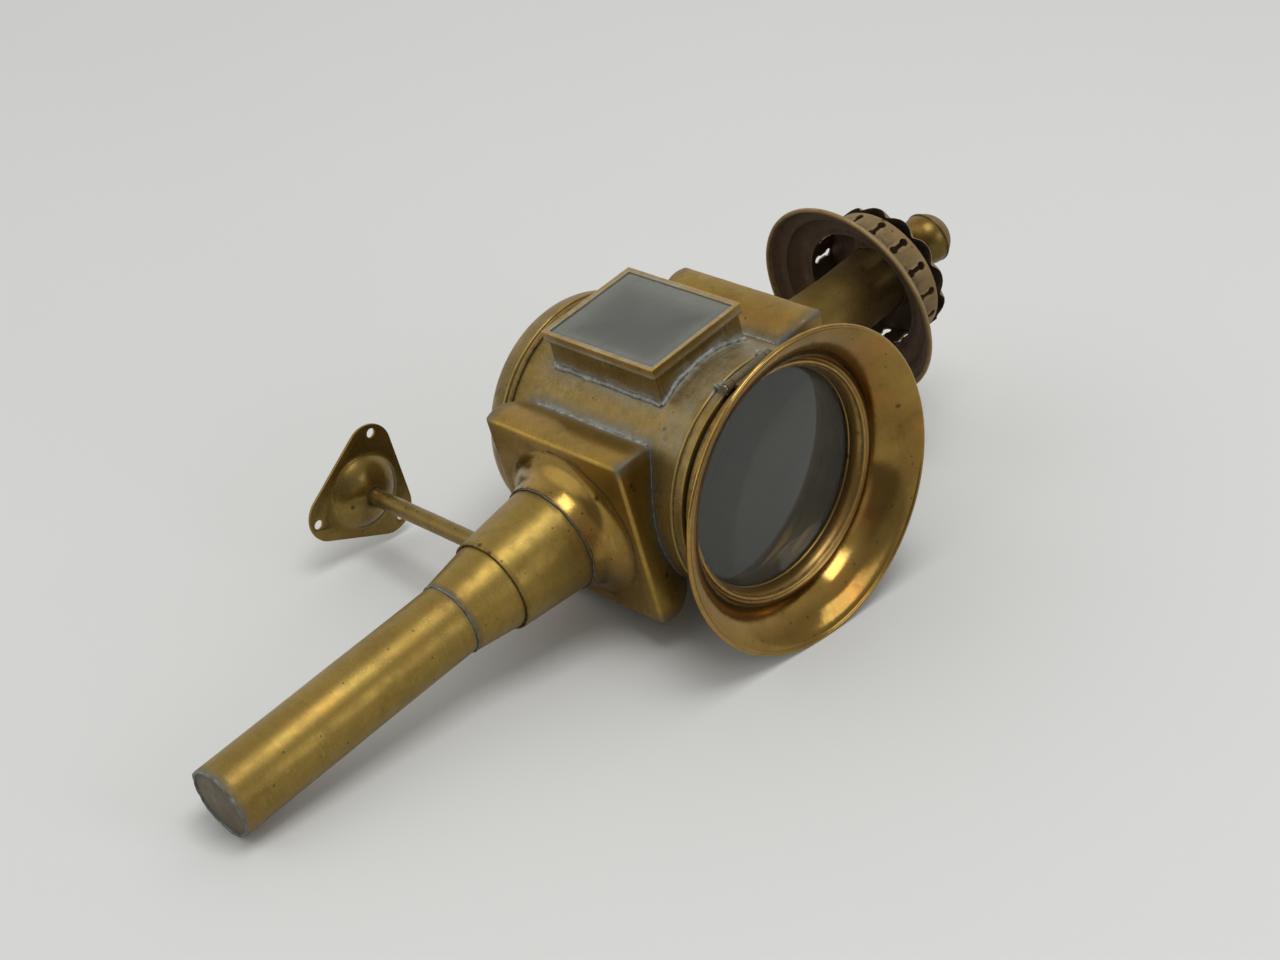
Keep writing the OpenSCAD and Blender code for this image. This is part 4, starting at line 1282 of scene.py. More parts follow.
@dataclass
class Socket(SubAssembly):
    """Spun collar and tapered socket under the lower pan."""

    collar_r: float = 39.2
    collar_h: float = 14.0
    waist: Point = (2.8, 6.8)
    swell: float = 2.0
    top_r: float = 26.0
    mouth_r: float = 22.6
    length: float = 37.5

    def build(self) -> None:
        """Model the collar and the socket."""
        top = -(PAN_FACE + self.collar_h)
        foot, lip = (self.collar_r, -PAN_FACE - CLEAR), (self.top_r + 1.1, top)
        waist = (self.top_r + self.waist[0], top + self.waist[1])
        outside = [*bow(foot, waist, -self.swell, steps=18), *bow(waist, lip, -0.1, steps=8)[1:]]
        inside = [(r - SHEET, z + 0.3 * SHEET) for r, z in outside[::-1]]
        self.keep(Bench.spun("collar_bell", [*outside, *inside], Way.CANDLE, sharp=50, waves=(0.16, 30)))
        slope = (self.top_r - self.mouth_r) / self.length
        head = -PAN_FACE - CLEAR
        head_r = self.top_r + (head - top) * slope
        mouth = top - self.length
        outline = rounded([
            (self.mouth_r - SHEET, mouth, HEM), (self.mouth_r, mouth, HEM),
            (head_r, head, 0.0), (head_r - SHEET, head, 0.0),
        ], steps=3)
        self.keep(Bench.spun("socket_cone", stretched(outline, 2.5), Way.CANDLE, sharp=45, waves=(0.06, 40)))
        seam = ring_line(self.top_r + 0.75, top - 0.25, Way.CANDLE)
        self.keep(Bench.bead("solder_socket", seam[:-1], radius=0.24, lumps=0.16, closed=True))
        SEAMS.add(Soil.DARK, seam, 1.3, 0.85)
        SEAMS.add(Soil.DARK, ring_line(self.collar_r + 0.2, -PAN_FACE, Way.CANDLE), 1.6, 0.75)
        SEAMS.add(Soil.DARK, ring_line(self.mouth_r - 0.5, mouth, Way.CANDLE), 0.8, 0.8)

    def dress(self) -> None:
        """Bright tube brass with a grey seam."""
        self.fit("collar_bell", COLLAR_BRASS, "lower_collar")
        self.fit("socket_cone", SOCKET_BRASS, "candle_socket")
        self.dress_solder(GREY_SOLDER)


@dataclass
class SideWindow(SubAssembly):
    """Window box, folded frame and pane on the drum's side."""

    size: Point = (71.6, 57.0)
    reach: float = 68.8
    depth: float = 5.5
    lip: float = 2.6
    over: float = 1.5
    sheet: float = 0.9
    fold: float = 0.7
    dip: float = 0.4
    haze: float = 5.5

    def build(self) -> None:
        """Model the frame, the box, the pane and the solder at the box's foot."""
        self.keep(self.frame())
        box = Bench.copied("window_walls", "window_box")
        with Bench.editing(box):
            bpy.ops.mesh.quads_convert_to_tris()
            bpy.ops.mesh.subdivide(number_cuts=3)
        self.keep(Bench.finished(box, sharp=30, waves=(0.12, 25)))
        pane = Bench.copied("window_pane", "window_glass", widen=0.2)
        with Bench.editing(pane):
            bpy.ops.mesh.subdivide(number_cuts=15)
        self.keep(Bench.finished(pane, sharp=30))
        half_y, half_z = self.size[0] / 2 - self.over, self.size[1] / 2 - self.over
        for side, y in (("front", -1), ("back", 1)):
            zs = [half_z * k / 10 for k in range(-10, 11)]
            line = [lamp_point(-math.sqrt(DRUM_R**2 - z**2) - 0.2, y * (half_y + 0.25), z) for z in zs]
            self.keep(Bench.bead(f"solder_window_{side}", line, radius=1.5, lumps=0.6))
            SEAMS.add(Soil.PALE, line, 2.6, 1.0)
        x = -math.sqrt(DRUM_R**2 - half_z**2)
        for side, z in (("foot", -1), ("head", 1)):
            line = [lamp_point(x - 0.2, half_y * k / 10, z * (half_z + 0.25)) for k in range(-10, 11)]
            self.keep(Bench.bead(f"solder_window_{side}", line, radius=1.4, lumps=0.6))
            SEAMS.add(Soil.PALE, line, 2.2, 0.9)
        self.edge_lines()

    def edge_lines(self) -> None:
        """Let bloom gather round the pane, paint shadow under the frame's overhang, and brighten the frame's edges
        with wear and a painted highlight.
        """
        for soil, inset, depth, reach, strength in (
            # Painted shadow: the dark line along the frame's back edge, where it overhangs the box
            (Soil.PALE, self.lip + 0.6, 1.0, 2.6, 0.75), (Soil.DARK, 0.0, self.depth - 0.2, 0.8, 0.95),
            (Soil.PALE, 0.0, self.depth - 1.5, 0.7, 0.75),
            # Painted highlight with wear: the frame's outer and inner edges brightened
            (Soil.WORN_AND_SHEEN, 0.2, 0.2, 0.7, 0.9), (Soil.WORN_AND_SHEEN, self.lip - 0.3, 0.1, 0.45, 0.7),
        ):
            y, z = self.size[0] / 2 - inset, self.size[1] / 2 - inset
            SEAMS.add(soil, [lamp_point(-self.reach + depth, a * y, b * z) for a, b in CORNERS], reach, strength)
        y, z = self.size[0] / 2 - self.haze, self.size[1] / 2 - self.haze
        corner = [lamp_point(-self.reach + 1.2, *place) for place in ((y, -z), (y, z), (-y, z))]
        SEAMS.add(Soil.PALE, corner, self.haze + 1.0, 0.55)

    def frame(self) -> Piece:
        """Fold the frame from a flat plate: a lip over the pane and four sides."""
        obj = Bench.plane("window_rim", 1 / MM)
        with Bench.editing(obj):
            bpy.ops.transform.resize(value=(self.size[0], self.size[1], 1))
            bpy.ops.mesh.inset(thickness=self.lip / MM, depth=-self.dip / MM)
            bpy.ops.mesh.delete(type="FACE")
            mesh = bmesh.from_edit_mesh(obj.data)
            for edge in mesh.edges:
                middle = (edge.verts[0].co + edge.verts[1].co) / 2
                side = max(abs(middle.x) * 2 * MM / self.size[0], abs(middle.y) * 2 * MM / self.size[1])
                edge.select_set(edge.is_boundary and side > 0.99)
            bmesh.update_edit_mesh(obj.data)
            bpy.ops.mesh.extrude_edges_move(TRANSFORM_OT_translate={"value": (0, 0, -self.depth / MM)})
            Bench.outward()
        Bench.modified(obj, "SOLIDIFY", thickness=self.sheet / MM, offset=-1.0, use_even_offset=True)
        Bench.bevelled(obj, self.fold, segments=3)
        with Bench.editing(obj):
            bpy.ops.mesh.subdivide(number_cuts=6)
        facing = Matrix(((0, 0, -1, 0), (-1, 0, 0, 0), (0, 1, 0, 0), (0, 0, 0, 1)))
        Bench.settle(obj, Matrix.Translation(lamp_point(-self.reach, 0, 0)) @ facing)
        return Bench.finished(obj, sharp=40, waves=(0.15, 22))

    def dress(self) -> None:
        """Brass frame and box, hazy pane, pale solder."""
        self.fit("window_rim", FRAME_BRASS, "window_frame")
        self.fit("window_walls", BODY_BRASS, "window_box")
        self.fit("window_pane", SIDE_PANE, "window_glass", slot="side_pane")
        self.dress_solder(PALE_SOLDER)


@dataclass
class Chimney(SubAssembly):
    """Flue, cap ring, skirt, pierced gallery, fluted crown and knob."""

    flue_foot_r: float = 22.5
    flue_top_r: float = 17.0
    flue_top: float = 152.0
    flare: float = 58.0
    hollow: float = 1.4
    flange: float = 4.0
    skirt_r: float = 52.0
    skirt_at: float = 121.8
    step: Point = (43.5, 128.3)
    swell: float = 1.6
    gallery_r: float = 33.6
    gallery_foot: float = 134.3
    bead_r: float = 1.1
    finial_r: float = 13.0
    neck_r: float = 7.5
    finial_foot: float = 170.8
    foot_h: float = 2.4
    foot_steps: tuple[Point, ...] = ((1.6, 0.0), (1.5, 0.6), (0.4, 1.3))
    seam_at: float = 183.7
    dome_h: float = 10.8
    roll_r: float = 0.75
    roll_in: float = 0.35

    def build(self) -> None:
        """Model the chimney from its foot to its knob."""
        self.keep(self.flue())
        self.keep(self.skirt())
        self.keep(Bench.copied("gallery_band", "gallery", sharp=30))
        crown = Bench.copied("crown_flutes", "crown")
        Bench.modified(crown, "SUBSURF", levels=1, render_levels=1)
        self.keep(Bench.finished(crown, sharp=60))
        self.keep(Bench.copied("cap_ring", "cap_stays", widen=0.2, sharp=30))
        self.keep(self.bowl())
        self.keep(self.knob())
        SEAMS.rings(
            Way.CANDLE,
            (Soil.DARK, self.flue_foot_r, PAN_FACE + 1.0, 1.6, 0.75),
            (Soil.DARK, self.finial_r, self.seam_at, 0.7, 0.9),
            (Soil.DARK, self.gallery_r, self.gallery_foot, 1.2, 0.8),
            (Soil.DARK, self.step[0], self.step[1], 1.0, 0.6),
            # Painted highlight with wear on the skirt's wired rim
            (Soil.WORN_AND_SHEEN, self.skirt_r, self.skirt_at + self.bead_r, 1.1, 0.6),
        )

    def flue(self) -> Piece:
        """Roll the flue with its flared and turned-out foot."""
        foot, outer = PAN_FACE + CLEAR, self.flue_foot_r + self.flange
        seat = foot + SHEET
        flare = bow((self.flue_foot_r, seat), (self.flue_top_r, seat + self.flare), self.hollow, steps=20)
        outline = [
            (self.flue_foot_r - SHEET, foot), (outer, foot), (outer, foot + 0.6), (outer - 0.4, seat), *flare,
            (self.flue_top_r, self.flue_top), (self.flue_top_r - SHEET, self.flue_top),
            *((r - SHEET, z) for r, z in flare[::-1]),
        ]
        return Bench.spun("flue_pipe", stretched(outline, 4.0), Way.CANDLE, steps=112, sharp=50, waves=(0.2, 35))

    def skirt(self) -> Piece:
        """Spin the two-tiered skirt with its wired rim and collar."""
        rim = (self.skirt_r - self.bead_r, self.skirt_at + self.bead_r)
        head = (self.gallery_r + 0.2, self.gallery_foot - CLEAR)
        outside = bow(rim, self.step, -self.swell, steps=14) + bow(self.step, head, -self.swell, steps=14)[1:]
        drop = (-0.6, -0.9)
        inside = [(r + drop[0], z + drop[1]) for r, z in outside]
        bead = turn(rim, self.bead_r, 60, -190, 14)
        neck_r = self.gallery_r - SHEET - CLEAR
        neck = [
            (neck_r, head[1]), (neck_r, self.gallery_foot + 1.3), (neck_r - SHEET, self.gallery_foot + 1.3),
            (neck_r - SHEET, head[1] + drop[1]),
        ]
        outline = [*bead[::-1], *outside[2:], *neck, *inside[::-1][:-2]]
        return Bench.spun("skirt_flare", outline, Way.CANDLE, steps=144, sharp=50, waves=(0.25, 35))

    def bowl(self) -> Piece:
        """Spin the knob's neck and lower bowl."""
        neck, seam = (self.neck_r, self.finial_foot + self.foot_h), (self.finial_r, self.seam_at)
        spread, rise = seam[0] - neck[0], seam[1] - neck[1]
        wall_r = (spread**2 + rise**2) / (2 * spread)
        swell = wall_r - math.sqrt(wall_r**2 - (spread**2 + rise**2) / 4)
        outside = bow(neck, seam, -swell, steps=18)
        inside = bow(neck, seam, -swell, -SHEET, 18)[::-1]
        foot = [(self.neck_r + r, self.finial_foot + z) for r, z in self.foot_steps]
        outline = [
            (0, self.finial_foot + SHEET), (0, self.finial_foot), *foot, *outside, *inside,
            (self.neck_r - SHEET, self.finial_foot + SHEET),
        ]
        return Bench.spun("knob_bowl", outline, Way.CANDLE, steps=96, sharp=50)

    def knob(self) -> Piece:
        """Spin the knob's upper dome with its rolled edge."""
        seam = self.seam_at + CLEAR
        ball_r = (self.finial_r**2 + self.dome_h**2) / (2 * self.dome_h)
        ball = (0.0, seam + self.dome_h - ball_r)
        lean = math.degrees(math.atan2(seam - ball[1], self.finial_r))
        outside = turn(ball, ball_r, lean + 4, 90, 20)
        inside = turn(ball, ball_r - SHEET, 90, lean + 4, 20)
        roll = turn((self.finial_r - self.roll_in, seam + self.roll_r), self.roll_r, -80, 80, 8)
        outline = [(self.finial_r - 1.0, seam), *roll, *outside, *inside]
        return Bench.spun("knob_dome", outline, Way.CANDLE, steps=96, sharp=50)

    def dress(self) -> None:
        """Dull cap over a bright flue, with a bright knob."""
        self.fit("flue_pipe", FLUE_BRASS, "flue")
        self.fit("skirt_flare", CAP_BRASS, "skirt", slot="brass_dull")
        self.fit("gallery_band", CAP_BRASS, "gallery", slot="brass_dull")
        self.fit("crown_flutes", CAP_BRASS, "crown", slot="brass_dull")
        self.fit("cap_ring", SOOTED_BRASS, "cap_stays", slot="brass_dull")
        self.line("skirt_flare", SOOTED_BRASS, self.skirt_r - 2.6)
        self.line("gallery_band", SOOTED_BRASS, self.gallery_r)
        self.line("crown_flutes", SOOTED_BRASS, 2 * self.gallery_r)
        self.fit("knob_bowl", KNOB_BRASS, "finial_bowl", slot="brass_bright")
        self.fit("knob_dome", KNOB_TOP_BRASS, "finial_dome", slot="brass_bright")


@dataclass
class Bracket(SubAssembly):
    """Round arm and rounded triangular plate with a pressed dome."""

    arm_r: float = 4.2
    arm_end: float = 90.2
    corner_r: float = 13.0
    corner_at: float = 20.0
    plate_t: float = 1.5
    dome_r: float = 18.5
    dome_h: float = 9.0
    blend_r: float = 4.0
    press_r: float = 20.33
    pcd: float = 57.0
    hole_r: float = 2.3
    edge: float = 0.3

    def build(self) -> None:
        """Model the arm and the plate."""
        start = self.plate_t + self.dome_h - 2.0
        outline = rounded([
            (0, start, 0), (self.arm_r, start, 0.8), (self.arm_r, self.arm_end, 0), (0, self.arm_end, 0),
        ], steps=4)
        self.keep(Bench.spun("arm_rod", stretched(outline, 3.0), Way.ARM, steps=64, sharp=50, waves=(0.12, 30)))
        self.keep(self.plate())
        SEAMS.rings(
            Way.ARM,
            (Soil.DARK, self.arm_r + 0.2, start + 1.6, 1.4, 0.85),
            (Soil.DARK, self.arm_r, self.arm_end - 0.6, 1.6, 0.8),
        )

    def plate(self) -> Piece:
        """Cut the plate, press its dome and pierce its holes."""
        spokes = [math.radians(270 + 120 * i) for i in range(3)]
        rim: list[Vector] = []
        for angle in spokes:
            for k in range(-8, 9):
                a = angle + math.radians(60 * k / 8)
                x = self.corner_at * math.cos(angle) + self.corner_r * math.cos(a)
                z = self.corner_at * math.sin(angle) + self.corner_r * math.sin(a)
                rim.append(Vector((x, z, 0)) / MM)
        obj = Bench.wire("bracket_foot", rim, closed=True)
        with Bench.editing(obj):
            bpy.ops.mesh.edge_face_add()
            bpy.ops.mesh.extrude_region_move(TRANSFORM_OT_translate={"value": (0, 0, self.plate_t / MM)})
            Bench.outward()
        through = Vector((0, 0, 0.01))
        for angle in spokes:
            spot = Vector((math.cos(angle), math.sin(angle), 0)) * self.pcd / 2 / MM
            Bench.drill(obj, self.hole_r, spot - through, spot + through, sides=48)
        Bench.bevelled(obj, self.edge)
        Bench.drill(obj, self.press_r, -through, through, sides=112)
        Bench.settle(obj, Matrix.Rotation(math.pi / 2, 4, "X"))
        ball_r = (self.dome_r**2 + self.dome_h**2) / (2 * self.dome_h)
        ball = (0.0, self.plate_t + self.dome_h - ball_r)
        rise = self.plate_t + self.blend_r - ball[1]
        foot = (math.sqrt((ball_r + self.blend_r) ** 2 - rise**2), self.plate_t + self.blend_r)
        lean = math.degrees(math.asin(rise / (ball_r + self.blend_r)))
        outside = turn(foot, self.blend_r, 270, 180 + lean, 8) + turn(ball, ball_r, lean, 90, 22)[1:]
        inside = turn(ball, ball_r - self.plate_t, 90, lean, 22)
        inside += turn(foot, self.blend_r + self.plate_t, 180 + lean, 270, 8)[1:]
        rim_r = foot[0] + 0.05
        outline = [(rim_r, self.plate_t), *outside, *inside, (rim_r, 0)]
        dome = Bench.spun("bracket_dome", outline, Way.ARM, steps=112)
        Bench.clear()
        dome.select_set(True)
        obj.select_set(True)
        bpy.context.view_layer.objects.active = obj
        bpy.ops.object.join()
        return Bench.finished(obj, sharp=35, waves=(0.12, 28))

    def dress(self) -> None:
        """Dull brass for both."""
        self.fit("arm_rod", PLATE_BRASS, "bracket_arm")
        self.fit("bracket_foot", PLATE_BRASS, "bracket_plate")


@dataclass
class Door(SubAssembly):
    """Hood, bezel, pane and hinge of the door."""

    body: str = "door"
    flange: float = 67.3
    neck_in: float = 57.0
    neck_out: float = 58.0
    neck: float = 2.0
    rim_r: float = 76.0
    rim_front: float = 86.0
    rim_face: float = 155.0
    rim_back: float = 225.0
    bead_r: float = 1.1
    swell: float = 2.8
    glass_front: float = 59.8
    bezel_r: float = 51.0
    spigot_in: float = 53.2
    lip_r: float = 0.9
    fine_r: float = 1.0
    fine_at: Point = (1.5, 0.3)
    cove_r: float = 1.2
    cove_at: Point = (1.3, 1.7)

    def build(self) -> None:
        """Model the hood, the bezel and the pane, and ease the hinge's edges."""
        self.keep(self.hood())
        self.keep(self.bezel())
        self.keep(Bench.copied("front_pane", "front_glass", widen=0.25, sharp=30))
        for name, node in (("door_barrel", "hinge_knuckle"), ("door_finger_tab", "door_tab")):
            self.keep(Bench.copied(name, node, widen=0.25, sharp=35))
        self.keep(Bench.copied("door_spigot", "door_ring", widen=0.15, sharp=35))
        SEAMS.rings(
            Way.DRUM,
            # Painted shade: dark rings in the hood's neck, in the bezel's groove, at the glass edge and in the gap
            # behind the hood, with dirt in the joints
            (Soil.DARK, self.neck_in - 0.2, self.flange + 2.0, 0.5, 0.45),
            (Soil.DARK, self.spigot_in + 0.2, self.flange + 0.1, 0.6, 0.8),
            (Soil.DARK, self.bezel_r + 0.1, self.glass_front + 0.2, 0.5, 0.8),
            (Soil.DARK, self.neck_out, self.flange - 0.4, 0.9, 0.7),
            # Painted highlight with wear on the bezel's fine bead and the hood's rim
            (Soil.WORN_AND_SHEEN, self.spigot_in + self.fine_at[0], self.flange + 1.4, 0.6, 0.9),
            (Soil.WORN_AND_SHEEN, self.rim_r - 0.4, self.rim_front - 0.7, 1.1, 0.75),
        )

    def hood(self) -> Piece:
        """Spin the hood: a straight neck, a flare and a wired rim."""
        foot, start = self.flange + CLEAR, self.flange + self.neck
        rim = (self.rim_r - self.bead_r, self.rim_front - self.bead_r)
        face = turn(rim, self.bead_r, self.rim_face, self.rim_face, 1)[0]
        back = turn(rim, self.bead_r, self.rim_back, self.rim_back, 1)[0]
        inner = bow((self.neck_in, start), face, self.swell, steps=44)
        outer = bow((self.neck_out, start), back, self.swell, steps=44)[::-1]
        bead = turn(rim, self.bead_r, self.rim_face, self.rim_back - 360, 16)[1:-1]
        outline = [(self.neck_in, foot), (self.neck_in, foot + 1.2), *inner, *bead, *outer, (self.neck_out, foot)]
        return Bench.spun("hood_bell", outline, Way.DRUM, steps=192, sharp=50, waves=(0.28, 60))

    def bezel(self) -> Piece:
        """Spin the bezel: a broad soft bead up from the glass and a fine one at the hood's neck."""
        low, seat = self.glass_front + CLEAR, self.flange + CLEAR
        lip = turn((self.bezel_r + self.lip_r, low + self.lip_r), self.lip_r, 200, 120, 8)
        broad = bow(lip[-1], (self.spigot_in - CLEAR, seat + 0.1), 0.7, steps=14)[1:]
        fine = turn((self.spigot_in + self.fine_at[0], seat + self.fine_at[1]), self.fine_r, 175, 5, 12)
        cove = turn((self.neck_in - self.cove_at[0], seat + self.cove_at[1]), self.cove_r, 290, 355, 6)
        outline = [
            (self.bezel_r + 0.2, low), *lip, *broad, (self.spigot_in + 0.3, seat + 0.1), *fine,
            *cove, (self.neck_in - CLEAR, seat), (self.spigot_in - CLEAR, seat), (self.spigot_in - CLEAR, low),
        ]
        return Bench.spun("bezel_beads", outline, Way.DRUM, steps=160, sharp=50)

    def dress(self) -> None:
        """Polished hood, brass bezel and clear pane."""
        self.fit("hood_bell", SPUN_BRASS, "hood")
        self.fit("bezel_beads", BEZEL_BRASS, "glass_bezel")
        self.fit("front_pane", FRONT_PANE, "front_glass", slot="front_pane", soiled=False)
        self.fit("door_spigot", BODY_BRASS, "door_ring")
        self.fit("door_barrel", HINGE_BRASS, "hinge_knuckle")
        self.fit("door_finger_tab", BODY_BRASS, "door_tab")
        self.dress_node("glass_retainer", BODY_BRASS)


@dataclass
class HingeLugs(SubAssembly):
    """Lugs on the front ring that hold the hinge pin, with their solder."""

    hinge_x: float = -59.6
    hinge_front: float = 64.5
    lug_at: float = 12.5
    inset: float = 1.9
    behind: float = 4.4

    def build(self) -> None:
        """Ease the lugs and lay a lump of solder behind each."""
        self.keep(Bench.copied("lug_pair", "hinge_lugs", widen=0.3, sharp=35))
        for label, side in (("upper", 1), ("lower", -1)):
            x, y = self.hinge_x + self.inset, -self.hinge_front + self.behind
            points = [lamp_point(x, y + k, side * (self.lug_at + 0.6 * k)) for k in range(4)]
            self.keep(Bench.bead(f"solder_lug_{label}", points, radius=1.3, lumps=0.6))
            SEAMS.add(Soil.PALE, points, 2.4, 1.0)

    def dress(self) -> None:
        """Brass lugs, steel pin and pale solder."""
        self.fit("lug_pair", HINGE_BRASS, "hinge_lugs")
        self.dress_solder(PALE_SOLDER)
        self.dress_node("hinge_pin", STEEL)


@dataclass
class CandleHolder(SubAssembly):
    """Candle tube with its end, cone, cap and spring."""

    body: str = "candle_holder"
    tube_r: float = 17.0
    foot: float = -274.0
    top: float = -50.0
    cone_foot: float = -143.0
    mouth: float = -118.5
    plug_r: float = 21.3
    plug_top: float = -94.5
    cone_edge: float = 0.5
    cone_solid: float = 6.1
    end_t: float = 1.6
    dish: tuple[Point, ...] = ((0.0, 0.55), (0.5, 0.45), (1.0, 0.2))

    def build(self) -> None:
        """Model the tube, its end, its cone and their solder."""
        wall = stretched(rounded([
            (self.tube_r - SHEET, self.foot, 0.3), (self.tube_r, self.foot, 0.4),
            (self.tube_r, self.top, 0.3), (self.tube_r - SHEET, self.top, 0.3),
        ], steps=3), 4.0)
        self.keep(Bench.spun("tube_shell", wall, Way.CANDLE, steps=112, sharp=45, waves=(0.10, 40)))
        seat = self.tube_r + CLEAR
        wall = stretched([
            (seat, self.cone_foot), (seat + self.cone_edge, self.cone_foot), (self.plug_r, self.mouth),
            (self.plug_r, self.plug_top), (seat, self.plug_top), (seat, self.plug_top - SHEET),
            (self.plug_r - SHEET, self.plug_top - SHEET), (self.plug_r - SHEET, self.mouth),
            (seat, self.cone_foot + self.cone_solid),
        ], 3.0)
        self.keep(Bench.spun("cone_collar", wall, Way.CANDLE, steps=112, sharp=45, waves=(0.06, 40)))
        end_r = self.tube_r - SHEET - 0.15
        dish = [(end_r * share, self.foot + rise) for share, rise in self.dish]
        disc = [*dish, (end_r, self.foot + self.end_t), (0, self.foot + self.end_t)]
        self.keep(Bench.spun("tube_disc", stretched(disc, 2.5), Way.CANDLE, steps=96, sharp=45, waves=(0.15, 14)))
        seam = ring_line(self.tube_r + 0.35, self.cone_foot - 0.1, Way.CANDLE)
        self.keep(Bench.bead("solder_cone", seam[:-1], radius=0.4, lumps=0.35, closed=True))
        SEAMS.add(Soil.LEAD, seam, 1.5, 0.7)
        rim = ring_line(self.tube_r - 0.75, self.foot + 0.25, Way.CANDLE)
        self.keep(Bench.bead("solder_end", rim[:-1], radius=0.75, lumps=0.3, closed=True))
        SEAMS.add(Soil.LEAD, rim, 2.0, 0.9)
        SEAMS.add(Soil.DARK, seam, 1.6, 0.7)
        SEAMS.add(Soil.DARK, rim, 1.6, 0.7)
        # Painted highlight with wear round the tube's foot
        SEAMS.add(Soil.WORN_AND_SHEEN, ring_line(self.tube_r, self.foot + 0.4, Way.CANDLE), 0.8, 0.8)
        self.keep(Bench.copied("candle_nozzle", "candle_cap", widen=0.2, sharp=35))

    def dress(self) -> None:
        """Bright tube, dull end, grey solder and a dull spring."""
        self.fit("tube_shell", TUBE_BRASS, "candle_tube")
        self.fit("cone_collar", SOCKET_BRASS, "tube_cone")
        self.fit("tube_disc", END_BRASS, "tube_end")
        self.dress_solder(GREY_SOLDER)
        self.fit("candle_nozzle", BODY_BRASS, "candle_cap")
        self.dress_node("candle_spring", STEEL)
        self.dress_node("candle_follower", BODY_BRASS)


# Table, light and camera


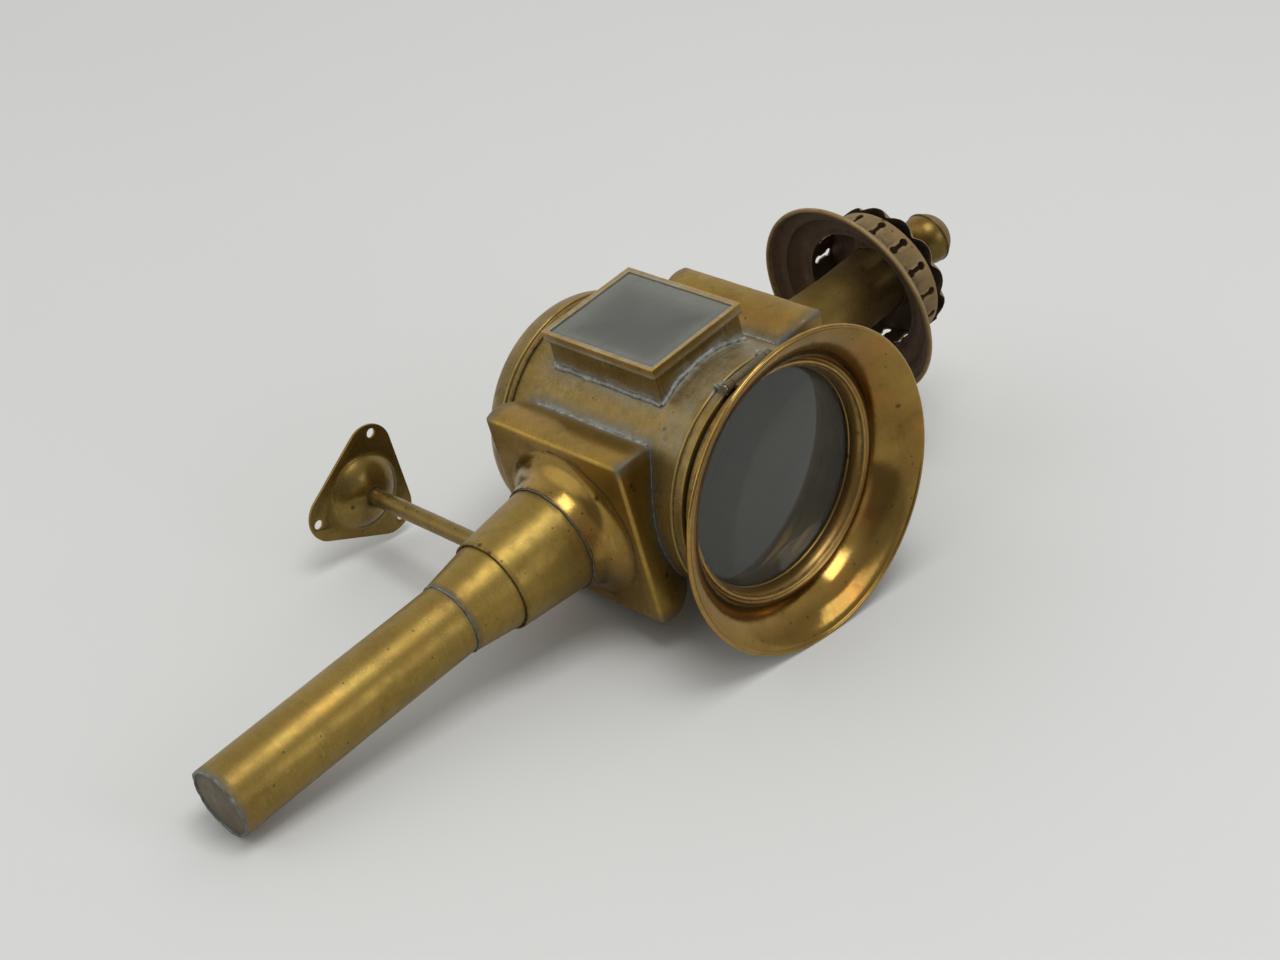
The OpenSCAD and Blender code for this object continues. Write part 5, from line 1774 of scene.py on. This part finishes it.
@dataclass
class Studio:
    """Pale table under the resting lamp, soft light over it and the photographer's camera."""

    down: Place = (0.98, 0.13, -0.17)
    table_at: float = 63.8
    table_size: float = 6.0
    eye: Place = (-0.6541787, -0.8877641, -0.4762892)
    right: Place = (0.23589314, -0.68906387, 0.68523384)
    up: Place = (-0.78667918, 0.27856791, 0.55094082)
    back: Place = (-0.57051757, -0.66902235, -0.47635994)
    lens: float = 71.18
    sensor: float = 36.0
    box_size: float = 1.02
    box_far: float = 2.2
    boxes: tuple[Place, ...] = ((30.0, 81.0, 19.5), (66.0, 24.0, 7.4))
    sky: Colour = (0.63, 0.635, 0.615)
    front: float = 0.38
    white: Colour = (1.0, 1.0, 0.985)
    behind: float = 0.88
    turn_edge: Point = (-0.75, -0.2)
    top: float = 0.58
    top_edge: Point = (0.62, 0.86)
    shade: float = 0.5
    shade_at: float = -18.0
    shade_edge: tuple[float, float] = (46.0, 32.0)
    window: Point = (-75.0, 28.0)
    window_edge: tuple[float, float] = (42.0, 22.0)
    window_level: float = 0.85

    def build(self) -> None:
        """Set the table, the light and the camera."""
        down = Vector(self.down).normalized()
        self.table(down)
        for box in self.boxes:
            self.softbox(down, *box)
        self.world(down)
        self.camera()

    def table(self, down: Vector) -> None:
        """Lay the table where the lamp touches it."""
        obj = Bench.plane("table_top", self.table_size)
        facing = (-down).to_track_quat("Z", "Y").to_matrix().to_4x4()
        Bench.settle(obj, Matrix.Translation(Vector(LAMP) + down * self.table_at / MM) @ facing)
        obj.data.materials.append(TableTop("table_paint").material())

    def way(self, down: Vector, around: float, height: float) -> Vector:
        """Find a direction in the room.

        Args:
            down: Direction to the table.
            around: Turn from the camera's side, in degrees.
            height: Height over the table, in degrees.

        Returns:
            The direction.
        """
        toward = Vector(self.eye) - Vector(LAMP)
        toward = (toward - down * toward.dot(down)).normalized()
        a, e = math.radians(around), math.radians(height)
        return (toward * math.cos(a) + toward.cross(down) * math.sin(a)) * math.cos(e) - down * math.sin(e)

    def softbox(self, down: Vector, around: float, height: float, power: float) -> None:
        """Hang a square soft light towards the lamp.

        Args:
            down: Direction to the table.
            around: Its turn from the camera's side, in degrees.
            height: Its height over the table, in degrees.
            power: Its power in watts.
        """
        light = bpy.data.lights.new("softbox", "AREA")
        light.shape = "SQUARE"
        light.size = self.box_size
        light.energy = power
        obj = bpy.data.objects.new("softbox", light)
        bpy.context.scene.collection.objects.link(obj)
        away = self.way(down, around, height)
        facing = away.to_track_quat("Z", "Y").to_matrix().to_4x4()
        obj.matrix_world = Matrix.Translation(Vector(LAMP) + away * self.box_far) @ facing

    def world(self, down: Vector) -> None:
        """Light the room: pale to the camera, dim around the photographer and bright behind the lamp."""
        world = bpy.data.worlds.new("studio")
        bpy.context.scene.world = world
        world.use_nodes = True
        world.node_tree.nodes.clear()
        w = Wiring(world.node_tree)
        ray = w.out("TexCoord", key="Generated")

        def along(way: Vector) -> NodeSocket:
            """Share of the ray along a direction."""
            return w.out("VectorMath", {0: ray, 1: tuple(way)}, operation="DOT_PRODUCT", key="Value")

        def cosines(edges: tuple[float, float]) -> list[float]:
            """Cosines of the outer and inner edge of a patch."""
            return [math.cos(math.radians(edge)) for edge in edges]

        lift = along(-down)
        spread = w.math("MAXIMUM", w.plain("SQRT", w.plain("SUBTRACT", 1.0, w.plain("MULTIPLY", lift, lift))), 0.2)
        plan = w.plain("DIVIDE", along(self.way(down, 0.0, 0.0)), spread)
        level = w.band(plan, *self.turn_edge, self.behind, self.front)
        plan = w.plain("DIVIDE", along(self.way(down, self.shade_at, 0.0)), spread)
        level = w.plain("MULTIPLY", level, w.band(plan, *cosines(self.shade_edge), 1.0, self.shade))
        level = w.band(lift, *self.top_edge, level, self.top)
        pane = w.band(along(self.way(down, *self.window)), *cosines(self.window_edge), 0.0, self.window_level)
        level = w.plain("ADD", level, pane)
        soft = w.out("Background", {"Color": rgba(self.white), "Strength": level})
        seen = w.out("Background", {"Color": rgba(self.sky), "Strength": 1.0})
        path = w.node("LightPath").outputs
        direct = w.math("MAXIMUM", path["Is Camera Ray"], path["Is Transmission Ray"])
        w.node("OutputWorld", {"Surface": w.out("MixShader", {0: direct, 1: soft, 2: seen})})

    def camera(self) -> None:
        """Stand the camera where the photographer stood."""
        camera = bpy.data.cameras.new("photographer")
        camera.lens = self.lens
        camera.sensor_width = self.sensor
        obj = bpy.data.objects.new("photographer", camera)
        bpy.context.scene.collection.objects.link(obj)
        turned = Matrix((self.right, self.up, self.back)).transposed().to_4x4()
        obj.matrix_world = Matrix.Translation(self.eye) @ turned
        bpy.context.scene.camera = obj


def main() -> None:
    """Build every sub-assembly, dress it and set up the studio."""
    logging.basicConfig(level=logging.INFO, format="%(name)s: %(message)s")
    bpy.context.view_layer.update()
    bpy.context.scene.view_settings.view_transform = "Standard"
    assemblies: list[SubAssembly] = [
        Drum(), Pans(), Socket(), SideWindow(), Chimney(), Bracket(), Door(), HingeLugs(), CandleHolder(),
    ]
    for assembly in assemblies:
        assembly.build()
    for assembly in assemblies:
        assembly.dress()
    Studio().build()


if __name__ == "__main__":
    main()
